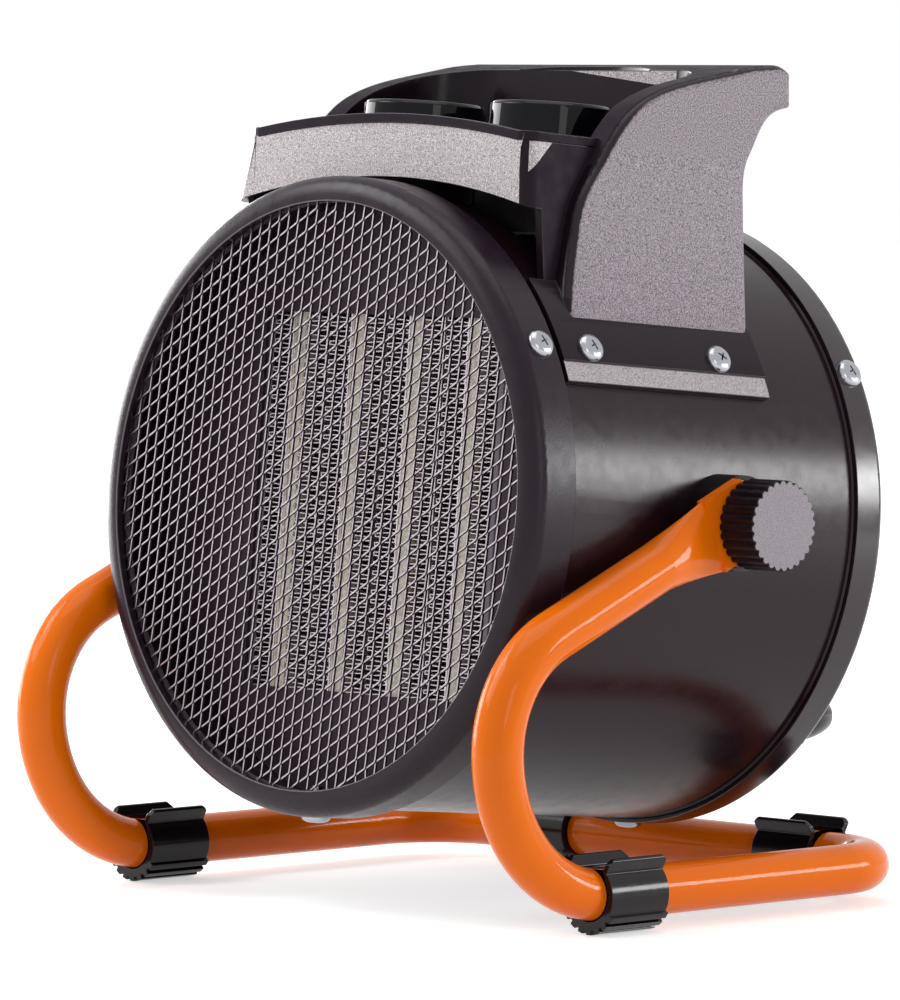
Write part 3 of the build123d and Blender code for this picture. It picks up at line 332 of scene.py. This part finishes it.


# spark eroded faces: the fine pitted skin that the moulds leave, its specks painted pale as the sheen the black grain
# catches, a painted highlight

erodedFacesWithSheen = {
    "knobFaceAndSheen": {"dark": (0.16, 0.14, 0.16), "light": (0.43, 0.38, 0.42), "low": 0.32, "high": 0.66, "grain": 3.0},
    "cheekGrainAndSheen": {"dark": (0.06, 0.050, 0.058), "light": (0.50, 0.43, 0.48), "low": 0.37, "high": 0.63, "grain": 2.1},
    "panelGrainAndSheen": {"dark": (0.15, 0.13, 0.14), "light": (0.94, 0.86, 0.88), "low": 0.36, "high": 0.64, "grain": 2.4},
    "lipGrainAndSheen": {"dark": (0.16, 0.14, 0.15), "light": (0.68, 0.62, 0.64), "low": 0.36, "high": 0.64, "grain": 2.4},
}
erodedPattern = {"roughness": 0.5, "shine": 0.25, "ragged": 0.7, "rise": 0.25, "height": 0.2 * mm}
cheekFade = {"smooth": (0.014, 0.007, 0.012), "front": (-0.30, -0.16), "top": (0.62, 0.46), "roughness": (0.25, 0.5)}


def sparkErodedWithSheen(name, e, p):
    finish = newFinish(name, e["dark"], p["roughness"], specular=p["shine"])
    specks = noiseNode(finish, placeNodes(finish), e["grain"], 4, p["ragged"])
    mixColour(finish, rampNode(finish, specks, e["low"], e["high"]), e["dark"], e["light"])
    addBump(finish, specks, p["rise"], p["height"])


def fadeAtEdges(finish, f):
    tree = finish.node_tree                              # the pitting dies out on the rounded edges
    split = tree.nodes.new("ShaderNodeSeparateXYZ")
    tree.links.new(tree.nodes.new("ShaderNodeTexCoord").outputs["Normal"], split.inputs[0])
    front = rampNode(finish, split.outputs["Y"], *f["front"])
    top = rampNode(finish, split.outputs["Z"], *f["top"])
    both = mathNode(tree, "MINIMUM", front, top)
    grained = tree.nodes["Principled BSDF"].inputs["Base Color"].links[0].from_socket
    fade = tree.nodes.new("ShaderNodeMix")
    fade.data_type = "RGBA"
    fade.inputs[6].default_value = (*f["smooth"], 1)
    tree.links.new(both, fade.inputs[0])
    tree.links.new(grained, fade.inputs[7])
    drive(finish, fade.outputs[2], "Base Color")
    drive(finish, rampNode(finish, both, 0, 1, *f["roughness"]), "Roughness")


for name, row in powderCoats.items():
    powderCoat(name, row, coatPattern)
for name, row in metals.items():
    metalFinish(name, row, metalPattern)
ceramicFinish("ceramicStrip", ceramic)
for name, row in erodedFacesWithSheen.items():
    sparkErodedWithSheen(name, row, erodedPattern)
fadeAtEdges(finishes["cheekGrainAndSheen"], cheekFade)
print("finishes mixed", len(finishes))


# carried nodes and their finishes; the spacers, gland and fan take the clips' black

nodeFinishes = {
    "stand_tube": "orangePowder", "barrel_shell": "barrelBlack", "rear_cover": "coverBlack",
    "front_bezel": "bezelSatin", "front_grille": "meshSteel", "grille_ring": "meshSteel",
    "core_baffle": "innerBlack", "control_housing": "housingSmooth",
    "core_right_upright": "frameGrey", "core_left_upright": "frameGrey",
    "thermostat_dial": "dialGloss", "selector_dial": "dialGloss",
    "right_clamp_knob": "knobSide", "left_clamp_knob": "knobSide",
    "core_top_cap": "heatPlastic", "core_bottom_cap": "heatPlastic", "thermal_cutout": "heatPlastic",
    "thermostat_body": "heatPlastic", "selector_switch": "heatPlastic", "terminal_block": "heatPlastic",
    "bezel_screws": "zincPlate", "rear_cover_screws": "zincPlate", "housing_screws": "zincPlate",
    "motor_screws": "zincPlate", "motor_bracket": "zincPlate", "fan_motor": "shaftSteel",
    "motor_shaft": "shaftSteel", "thermostat_spindle": "shaftSteel", "selector_spindle": "shaftSteel",
    "right_clamp_stud": "shaftSteel", "left_clamp_stud": "shaftSteel",
    "right_pivot_insert": "zincPlate", "left_pivot_insert": "zincPlate",
}
familyFinishes = {"ptc_strip": "ceramicStrip", "fin_pack": "coreAluminium"}


def finishFor(nodeName):
    family = nodeName.rsplit("_", 1)[0]
    return nodeFinishes.get(nodeName) or familyFinishes.get(family, "clipBlack")


def giveFinishes(piece, *names):
    piece.data.materials.clear()
    for name in names:
        piece.data.materials.append(finishes[name])


for name, node in nodes.items():
    giveFinishes(node, finishFor(name))
print("carried nodes finished")


# what the pieces below are made with

nodeCopy = {"weld": 0.02 * mm, "flat": 0.6}              # flat faces within this many degrees are joined
edgeWork = {"over": 35, "segments": 2, "stray": 0.45, "smoothOver": 34}


def startPiece():
    if bpy.context.object and bpy.context.object.mode != "OBJECT":
        bpy.ops.object.mode_set(mode="OBJECT")
    bpy.ops.object.select_all(action="DESELECT")


def takePrimitive(name):
    piece = bpy.context.object
    piece.name = piece.data.name = name
    return piece


def makeActive(piece):
    piece.select_set(True)
    bpy.context.view_layer.objects.active = piece


def openEdit(piece, kind):
    bpy.context.view_layer.objects.active = piece
    bpy.ops.object.mode_set(mode="EDIT")
    bpy.ops.mesh.select_mode(type=kind)
    shape = bmesh.from_edit_mesh(piece.data)
    for part in (*shape.verts, *shape.edges, *shape.faces):
        part.select = False
    return shape


def pickFaces(piece, test):
    for face in openEdit(piece, "FACE").faces:
        if test(face.calc_center_median(), face.normal):
            face.select_set(True)
    bmesh.update_edit_mesh(piece.data)


def pickVerts(piece, test):
    shape = openEdit(piece, "VERT")
    for vert in shape.verts:
        if test(vert.co):
            vert.select_set(True)
    shape.select_flush_mode()
    bmesh.update_edit_mesh(piece.data)


def pickedCentre(piece):
    shape = bmesh.from_edit_mesh(piece.data)
    picked = [vert.co for vert in shape.verts if vert.select]
    return sum(picked, Vector()) / len(picked)


def extrudeBy(offset):
    bpy.ops.mesh.extrude_region_move(TRANSFORM_OT_translate={"value": offset})


def leaveEdit():
    bpy.ops.object.mode_set(mode="OBJECT")


def addArray(piece, count, offset):
    array = piece.modifiers.new("array", "ARRAY")
    array.count = count
    array.use_relative_offset = False
    array.use_constant_offset = True
    array.constant_offset_displace = offset
    bpy.ops.object.modifier_apply(modifier=array.name)


def paintFaces(piece, names, choose):
    giveFinishes(piece, *names)
    for face in piece.data.polygons:
        face.material_index = names.index(choose(face.center, face.normal))


def bodyOf(nodeName):
    for body, members in frame["record"]["behaviour"]["bodies"].items():
        if nodeName in members:
            return body


def intoHead(piece, body="heater_head"):
    piece.data.transform(headPlace)
    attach(piece, body)


def copyNode(nodeName, name):
    startPiece()
    piece = bpy.data.objects.new(name, nodes[nodeName].data.copy())
    piece.data.name = name
    bpy.context.scene.collection.objects.link(piece)
    makeActive(piece)
    bpy.ops.mesh.customdata_custom_splitnormals_clear()
    bpy.ops.object.mode_set(mode="EDIT")
    bpy.ops.mesh.select_all(action="SELECT")
    bpy.ops.mesh.remove_doubles(threshold=nodeCopy["weld"])
    bpy.ops.mesh.dissolve_limited(angle_limit=radians(nodeCopy["flat"]))
    bpy.ops.mesh.normals_make_consistent(inside=False)
    leaveEdit()
    return piece


def roundEdges(piece, width, over=edgeWork["over"], material=-1):
    skin = BVHTree.FromObject(piece, bpy.context.evaluated_depsgraph_get())
    bevel = piece.modifiers.new("edges", "BEVEL")
    bevel.width = width
    bevel.segments = edgeWork["segments"]
    bevel.limit_method = "ANGLE"
    bevel.angle_limit = radians(over)
    bevel.use_clamp_overlap = False
    bevel.material = material
    bpy.ops.object.modifier_apply(modifier=bevel.name)
    moved = 0
    for vert in piece.data.vertices:                     # none strays from the faces it came from
        nearest, _, _, gap = skin.find_nearest(vert.co)
        if gap > edgeWork["stray"] * width:
            vert.co = nearest
            moved += 1
    print("edges", piece.name, moved)
    smoothFaces(piece, edgeWork["smoothOver"])


def smoothFaces(piece, over):
    startPiece()
    makeActive(piece)
    bpy.ops.object.shade_smooth_by_angle(angle=radians(over))
    weighted = piece.modifiers.new("shading", "WEIGHTED_NORMAL")
    weighted.keep_sharp = True
    bpy.ops.object.modifier_apply(modifier=weighted.name)


# control housing: the moulding, its grained faces told from the smooth ones
# places are millimetres from the pivot in the head's own frame; pairs are (y, z), the grip's patch is (x, z)

housingSkin = {
    "edge": 0.3 * mm, "near": 0.3,
    "finishes": ("housingSmooth", "panelGrainAndSheen", "cheekGrainAndSheen", "lipGrainAndSheen", "mouldMatte"),
    "panel": {"foot": (-63.2, 91.0), "lean": 2.2 / 26, "half": 65, "square": -0.985},
    "panelEnds": {"from": -62, "facing": -0.25, "near": 0.5},
    "lip": {"from": 62.4, "to": 66.7, "radius": 99, "facing": 0.8},      # degrees round the barrel
    "cheek": {"from": 68.2, "foot": 57, "ledge": 66, "front": -58, "facing": 0.45, "ledgeFacing": 0.82},
    "tail": {"from": 67, "front": 22, "foot": 58, "top": 103, "facing": 0.25, "level": 0.42},
    "scoop": {"floor": 143.0, "facing": 0.9},
    "endWall": {"from": 62, "to": 67.5, "facing": 0.7, "cutTo": 72, "cutFront": -30,
                "top": (-50.8, 114.2), "foot": (-59.0, 102.0)},
    "rim": {"under": 114.2, "from": 61, "to": 68, "front": -40, "facing": 0.7, "above": 105, "up": 0.2},
    "brow": {"facing": -0.9, "half": 67, "front": -55, "foot": 100},
    "grip": {"front": 24.0, "near": 0.1, "facing": -0.9, "patch": (-5.5, 142.7), "fall": -0.111},
}


def panelFront(h, z):
    return h["panel"]["foot"][0] + (z - h["panel"]["foot"][1]) * h["panel"]["lean"]


def onCheek(h, across, y, z, outward, level):
    cheek, tail = h["cheek"], h["tail"]
    least = cheek["facing"] if z > cheek["ledge"] else cheek["ledgeFacing"]
    if across > cheek["from"] and z > cheek["foot"] and outward > least and y > cheek["front"]:
        return True
    return (across > tail["from"] and y > tail["front"] and tail["foot"] < z < tail["top"] and
            outward > tail["facing"] and level < tail["level"])


def onEndWall(h, across, y, z, outward):
    wall = h["endWall"]
    top, foot = wall["top"], wall["foot"]
    if not (wall["from"] < across < wall["to"] and outward > wall["facing"] and foot[1] < z < h["rim"]["under"]):
        return False
    return (top[1] - foot[1]) * (y - top[0]) < (top[0] - foot[0]) * (z - top[1])


def onGripPatch(h, x, y, z, normal):
    grip = h["grip"]
    left, top = grip["patch"]
    return (abs(y - grip["front"]) < grip["near"] and normal.y < grip["facing"] and
            z > top + grip["fall"] * (x - left) and x > left)


# the grained zones take pale finishes: real pitting, with its sheen painted into the colour
def housingZone(centre, normal):
    h = housingSkin
    x, y, z = centre / mm
    across, outward = abs(x), normal.x if x > 0 else -normal.x
    radius, angle = hypot(x, z), degrees(atan2(across, z))
    panel, lip, rim, brow = h["panel"], h["lip"], h["rim"], h["brow"]
    if normal.y < panel["square"] and abs(y - panelFront(h, z)) < h["near"] and across < panel["half"]:
        return "panelGrainAndSheen"
    if (lip["from"] < angle < lip["to"] and radius > lip["radius"] and
            normal.x * x + normal.z * z > lip["facing"] * radius):
        return "lipGrainAndSheen"
    if onCheek(h, across, y, z, outward, abs(normal.z)):
        return "cheekGrainAndSheen"
    if abs(z - h["scoop"]["floor"]) < h["near"] and normal.z > h["scoop"]["facing"]:
        return "cheekGrainAndSheen"
    if onEndWall(h, across, y, z, outward) or onGripPatch(h, x, y, z, normal):
        return "panelGrainAndSheen"
    if rim["from"] < across < rim["to"] and outward > rim["facing"] and y < rim["front"]:
        return "mouldMatte"
    if normal.z > rim["up"] and z > rim["above"]:
        return "mouldMatte"
    if normal.y < brow["facing"] and across < brow["half"] and y < brow["front"] and z > brow["foot"]:
        return "mouldMatte"
    return "housingSmooth"


def cutHousing(skin, h):
    wall, grip = h["endWall"], h["grip"]
    top, foot, patch = wall["top"], wall["foot"], grip["patch"]
    pickFaces(skin, lambda centre, normal: wall["from"] * mm < abs(centre.x) < wall["cutTo"] * mm and
              centre.y < wall["cutFront"] * mm and abs(normal.x) > wall["facing"])
    bpy.ops.mesh.bisect(plane_co=(0, top[0] * mm, top[1] * mm),
                        plane_no=(0, top[1] - foot[1], foot[0] - top[0]))
    leaveEdit()
    pickFaces(skin, lambda centre, normal: abs(centre.y - grip["front"] * mm) < grip["near"] * mm and
              normal.y < grip["facing"])
    bpy.ops.mesh.bisect(plane_co=(patch[0] * mm, 0, patch[1] * mm), plane_no=(-grip["fall"], 0, 1))
    leaveEdit()


def makeHousingSkin(h):
    ends = h["panelEnds"]
    smooth, grained = h["finishes"].index("housingSmooth"), h["finishes"].index("panelGrainAndSheen")
    skin = copyNode("control_housing", "housingSkin")
    skin.data.transform(headPlace.inverted())
    cutHousing(skin, h)
    paintFaces(skin, h["finishes"], housingZone)
    roundEdges(skin, h["edge"], material=smooth)
    for face in skin.data.polygons:                      # the panel's grain runs over its outer ends
        x, y, z = face.center / mm
        if (face.material_index == smooth and face.normal.y < ends["facing"] and x < ends["from"] and
                abs(y - panelFront(h, z)) < ends["near"] and z < h["rim"]["under"]):
            face.material_index = grained
    intoHead(skin)
    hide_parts("control_housing")
    print("housing skin", len(skin.data.polygons))


makeHousingSkin(housingSkin)


# feet, dials, collar and cover: their edges catch the light

softEdges = {
    "front_right_foot": {"edge": 0.28 * mm, "finish": "clipBlack", "slot": "black_clip"},
    "front_left_foot": {"edge": 0.28 * mm, "finish": "clipBlack", "slot": "black_clip"},
    "rear_right_foot": {"edge": 0.28 * mm, "finish": "clipBlack", "slot": "black_clip"},
    "rear_left_foot": {"edge": 0.28 * mm, "finish": "clipBlack", "slot": "black_clip"},
    "thermostat_dial": {"edge": 0.25 * mm, "finish": "dialGloss", "slot": "dial_plastic"},
    "selector_dial": {"edge": 0.25 * mm, "finish": "dialGloss", "slot": "dial_plastic"},
    "front_bezel": {"edge": 0.4 * mm, "finish": "bezelSatin", "slot": "dark_bezel"},
    "rear_cover": {"edge": 0.3 * mm, "finish": "coverBlack", "slot": "black_steel"},
}
paintedLipHighlight = {"radius": 95.5 * mm, "depth": 1.2 * mm}     # the collar's thin lip: a pale finish that paints a highlight on its rounded edge


def softenEdges(rows):
    for nodeName, row in rows.items():
        piece = copyNode(nodeName, "soft_" + nodeName)
        if nodeName == "front_bezel":
            giveFinishes(piece, row["finish"], "lipPaintedHighlight")
            paintLipHighlight(piece, row["edge"], paintedLipHighlight)
        else:
            giveFinishes(piece, row["finish"])
            roundEdges(piece, row["edge"])
        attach(piece, bodyOf(nodeName))
        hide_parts(nodeName)
    print("edges softened", len(rows))


# the bevel faces at the lip's front edge take the pale finish, a painted highlight
def paintLipHighlight(piece, edge, lip):
    piece.data.transform(headPlace.inverted())
    roundEdges(piece, edge, material=1)
    front = min(vert.co.y for vert in piece.data.vertices)
    for face in piece.data.polygons:
        x, y, z = face.center
        if face.material_index == 1 and not (hypot(x, z) < lip["radius"] and y < front + lip["depth"]):
            face.material_index = 0
    piece.data.transform(headPlace)


softenEdges(softEdges)


# clamp knobs: the grained face, its pale specks a painted sheen, and the smooth fluted side

clampKnob = {"edge": 0.35 * mm, "over": 25, "faceDepth": 0.05 * mm, "right_clamp_knob": 1, "left_clamp_knob": -1}


def makeClampKnob(nodeName, k):
    side = k[nodeName]
    knob = copyNode(nodeName, "knob_" + nodeName)
    outer = max(side * vert.co.x for vert in knob.data.vertices)
    paintFaces(knob, ("knobSide", "knobFaceAndSheen"),
               lambda centre, normal: "knobFaceAndSheen" if side * centre.x > outer - k["faceDepth"] else "knobSide")
    roundEdges(knob, k["edge"], over=k["over"], material=0)
    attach(knob, bodyOf(nodeName))
    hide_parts(nodeName)


makeClampKnob("right_clamp_knob", clampKnob)
makeClampKnob("left_clamp_knob", clampKnob)
print("clamp knobs made")


# screws: one zinc pan head with a cross recess, copied to each place

panScrew = {"head": 4.7 * mm, "sides": 32, "rim": 0.9 * mm, "height": 2.7 * mm, "shank": 1.9 * mm, "length": 9 * mm,
            "dome": ((0.35, 0.65), (0.65, 0.55), (1.0, 0.38), (1.2, 0.12)),      # inset and rise of each ring, mm
            "recess": 2.5 * mm, "blade": 0.85 * mm, "depth": 1.5 * mm, "taper": 0.45, "smoothOver": 40,
            "firstTurn": 20, "nextTurn": 37}
screwPlaces = {                                          # degrees round the head, then mm along and out
    "bezel_screws": {"angles": (60, 180, 300), "along": (-72.4,), "out": 100.8},
    "rear_cover_screws": {"angles": (60, 180, 300), "along": (66.0,), "out": 99.4},
    "housing_screws": {"angles": (60, -60), "along": (-50.9, 5.3), "out": 100.85},
}


def makeCrossCutter(p):
    bpy.ops.object.select_all(action="DESELECT")
    bpy.ops.mesh.primitive_cube_add(size=1, location=(0, 0, p["height"]))
    cutter = takePrimitive("crossCutter")
    cutter.data.transform(Matrix.Diagonal((p["blade"], p["blade"], p["depth"] * 2, 1)))
    pickFaces(cutter, lambda centre, normal: abs(normal.z) < 0.5)
    bpy.ops.mesh.extrude_faces_move(TRANSFORM_OT_shrink_fatten={"value": p["recess"] - p["blade"] / 2})
    leaveEdit()
    for vert in cutter.data.vertices:                    # the recess narrows downwards
        if vert.co.z < 0:
            vert.co.x *= p["taper"]
            vert.co.y *= p["taper"]
    return cutter


def makePanScrew(p):
    startPiece()
    bpy.ops.mesh.primitive_cylinder_add(vertices=p["sides"], radius=p["head"], depth=p["rim"],
                                        location=(0, 0, p["rim"] / 2))
    screw = takePrimitive("panScrew")
    pickFaces(screw, lambda centre, normal: normal.z > 0.9)
    for inward, rise in p["dome"]:
        bpy.ops.mesh.inset(thickness=inward * mm, depth=rise * mm)
    leaveEdit()
    pickFaces(screw, lambda centre, normal: normal.z < -0.9)
    bpy.ops.mesh.inset(thickness=p["head"] - p["shank"], depth=0)
    extrudeBy((0, 0, -p["length"]))
    leaveEdit()
    cutter = makeCrossCutter(p)
    cut = screw.modifiers.new("recess", "BOOLEAN")
    cut.object = cutter
    cut.operation = "DIFFERENCE"
    bpy.context.view_layer.objects.active = screw
    bpy.ops.object.modifier_apply(modifier=cut.name)
    bpy.data.objects.remove(cutter)
    giveFinishes(screw, "zincPlate")
    smoothFaces(screw, p["smoothOver"])
    return screw


def placeScrews(first, p, places):
    for nodeName, row in places.items():
        copies = []
        seat = Matrix.Translation((0, 0, row["out"] * mm))
        for number, (angle, along) in enumerate((angle, along) for angle in row["angles"] for along in row["along"]):
            one = first.copy()
            one.data = first.data.copy()
            bpy.context.scene.collection.objects.link(one)
            turn = Matrix.Rotation(radians(p["nextTurn"] * number + p["firstTurn"]), 4, "Z")
            one.data.transform(Matrix.Translation((0, along * mm, 0)) @
                               Matrix.Rotation(radians(angle), 4, "Y") @ seat @ turn)
            copies.append(one)
        startPiece()
        for one in copies:
            one.select_set(True)
        bpy.context.view_layer.objects.active = copies[0]
        bpy.ops.object.join()
        copies[0].name = copies[0].data.name = "zinc_" + nodeName
        intoHead(copies[0], bodyOf(nodeName))
        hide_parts(nodeName)
    bpy.data.objects.remove(first)


placeScrews(makePanScrew(panScrew), panScrew, screwPlaces)
print("screws placed")


# outlet mesh: one strand of the expanded metal, copied over the opening

outletMesh = {"down": Vector((0, 0, -5.0)) * mm, "across": Vector((4.33, 0, 2.34)) * mm,
              "strandWidth": 0.48 * mm, "strandDepth": 0.8 * mm, "sink": 0.35 * mm,
              "front": -81.1 * mm, "seat": -80.58 * mm, "lip": 92.5 * mm, "reach": 96.5 * mm,
              "columns": 46, "rows": 62, "bendRadius": 1.3 * mm, "bendSteps": 3,
              "upright": 0.97, "overlap": 0.25, "facing": -0.6}


def drawStrand(m):
    width, depth, bend, steps = m["strandWidth"], m["strandDepth"], m["bendRadius"], m["bendSteps"]
    top = -m["upright"] * m["down"].z
    slope = atan2(m["across"].z, m["across"].x)
    startPiece()
    bpy.ops.mesh.primitive_plane_add(size=1, location=(0, 0, 0))
    strand = takePrimitive("outletMesh")
    strand.data.transform(Matrix.Translation((0, m["front"] + m["sink"] + depth / 2, top)) @
                          Matrix.Diagonal((width, depth, 1, 1)))
    pickFaces(strand, lambda centre, normal: True)
    turn = pi / 2 - slope
    reach = bend * tan(turn / 2)
    extrudeBy((0, -m["sink"], -(top - reach)))           # down to the bend, coming forward
    for step in range(steps):
        middle = turn * (step + 0.5) / steps
        length = 2 * bend * sin(turn / steps / 2)
        extrudeBy((-length * sin(middle), 0, -length * cos(middle)))
        bpy.ops.transform.rotate(value=-turn / steps, orient_axis="Y",
                                 center_override=tuple(pickedCentre(strand)))
    run = m["across"].length - reach - m["overlap"] * width
    extrudeBy((-run * cos(slope), m["sink"], -run * sin(slope)))
    leaveEdit()
    pickFaces(strand, lambda centre, normal: True)
    bpy.ops.mesh.normals_make_consistent(inside=False)
    leaveEdit()
    return strand


def makeOutletMesh(m):
    strand = drawStrand(m)
    # faces not turned to the front take the dark finish: sheared edges and painted shade on the strands' sides
    paintFaces(strand, ("meshSteel", "shearedEdgeAndShade"),
               lambda centre, normal: "meshSteel" if normal.y < m["facing"] else "shearedEdgeAndShade")
    strand.data.transform(Matrix.Translation(-(m["columns"] // 2) * m["across"] - (m["rows"] // 2) * m["down"]))
    addArray(strand, m["columns"], m["across"])
    addArray(strand, m["rows"], m["down"])
    pickVerts(strand, lambda co: hypot(co.x, co.z) > m["reach"])
    bpy.ops.mesh.select_linked()
    bpy.ops.mesh.delete(type="VERT")
    leaveEdit()
    for vert in strand.data.vertices:                    # pinched flat under the collar's lip
        if hypot(vert.co.x, vert.co.z) > m["lip"]:
            vert.co.y = max(vert.co.y, m["seat"])
    intoHead(strand)
    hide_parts("front_grille")
    print("outlet mesh", len(strand.data.polygons))


makeOutletMesh(outletMesh)


# fin packs: a folded aluminium ribbon beside a thin wall

finPack = {"wall": 0.6 * mm, "wallPast": 0.3 * mm, "wallInset": 0.2 * mm, "spread": 1.25 * mm, "side": 0.3 * mm,
           "fold": 1.5 * mm, "slant": 0.36, "sheet": 0.42 * mm, "packs": 8,
           "front": -55.5 * mm, "depth": 22 * mm, "low": -61.5 * mm, "high": 58.5 * mm}


def foldRibbon(name, left, right, p):
    startPiece()
    bpy.ops.mesh.primitive_plane_add(size=1)
    ribbon = takePrimitive("ribbon_" + name)
    pickVerts(ribbon, lambda co: co.y > 0)
    bpy.ops.mesh.delete(type="VERT")
    leaveEdit()
    ribbon.data.vertices[0].co = (left + p["side"], p["front"], p["low"])
    ribbon.data.vertices[1].co = (left + p["side"], p["front"] + p["depth"], p["low"])
    pickVerts(ribbon, lambda co: True)
    across = right - left - p["wall"] - 2 * p["side"]
    folds = int((p["high"] - p["low"]) / p["fold"] / 2)
    rise = (p["high"] - p["low"]) / folds / 2
    slant = p["slant"] * rise
    for step in range(2 * folds):
        extrudeBy((across if step % 2 == 0 else -across, 0, slant))
        extrudeBy((0, 0, rise - slant))
    leaveEdit()
    solid = ribbon.modifiers.new("sheet", "SOLIDIFY")
    solid.thickness = p["sheet"]
    solid.offset = 0
    bpy.ops.object.modifier_apply(modifier=solid.name)
    return ribbon


def standWall(name, right, p):
    bpy.ops.object.select_all(action="DESELECT")
    bpy.ops.mesh.primitive_cube_add(size=1)
    wall = takePrimitive("wall_" + name)
    middle = (right - p["wall"] / 2, p["front"] + p["depth"] / 2, (p["low"] + p["high"]) / 2)
    wall.data.transform(Matrix.Translation(middle) @
                        Matrix.Diagonal((p["wall"], p["depth"] + p["wallPast"], p["high"] - p["low"], 1)))
    pickFaces(wall, lambda centre, normal: abs(normal.x) > 0.5)
    bpy.ops.mesh.inset(thickness=p["wallInset"], depth=0)
    leaveEdit()


def makeFinPack(name, p):
    low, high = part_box(name)
    left, right = low.x, high.x
    number = int(name.split("_")[-1])
    if number % 2 == 1 and number > 1:                   # the inner packs fill up to their neighbours
        left -= p["spread"]
    if number % 2 == 0 and number < p["packs"]:
        right += p["spread"]
    ribbon = foldRibbon(name, left, right, p)
    standWall(name, right, p)
    makeActive(ribbon)
    bpy.ops.object.join()
    ribbon.name = ribbon.data.name = "folded_" + name
    giveFinishes(ribbon, "coreAluminium")
    intoHead(ribbon)
    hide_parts(name)


for name in sorted(nodes):
    if name.startswith("fin_pack"):
        makeFinPack(name, finPack)
print("fin packs folded")
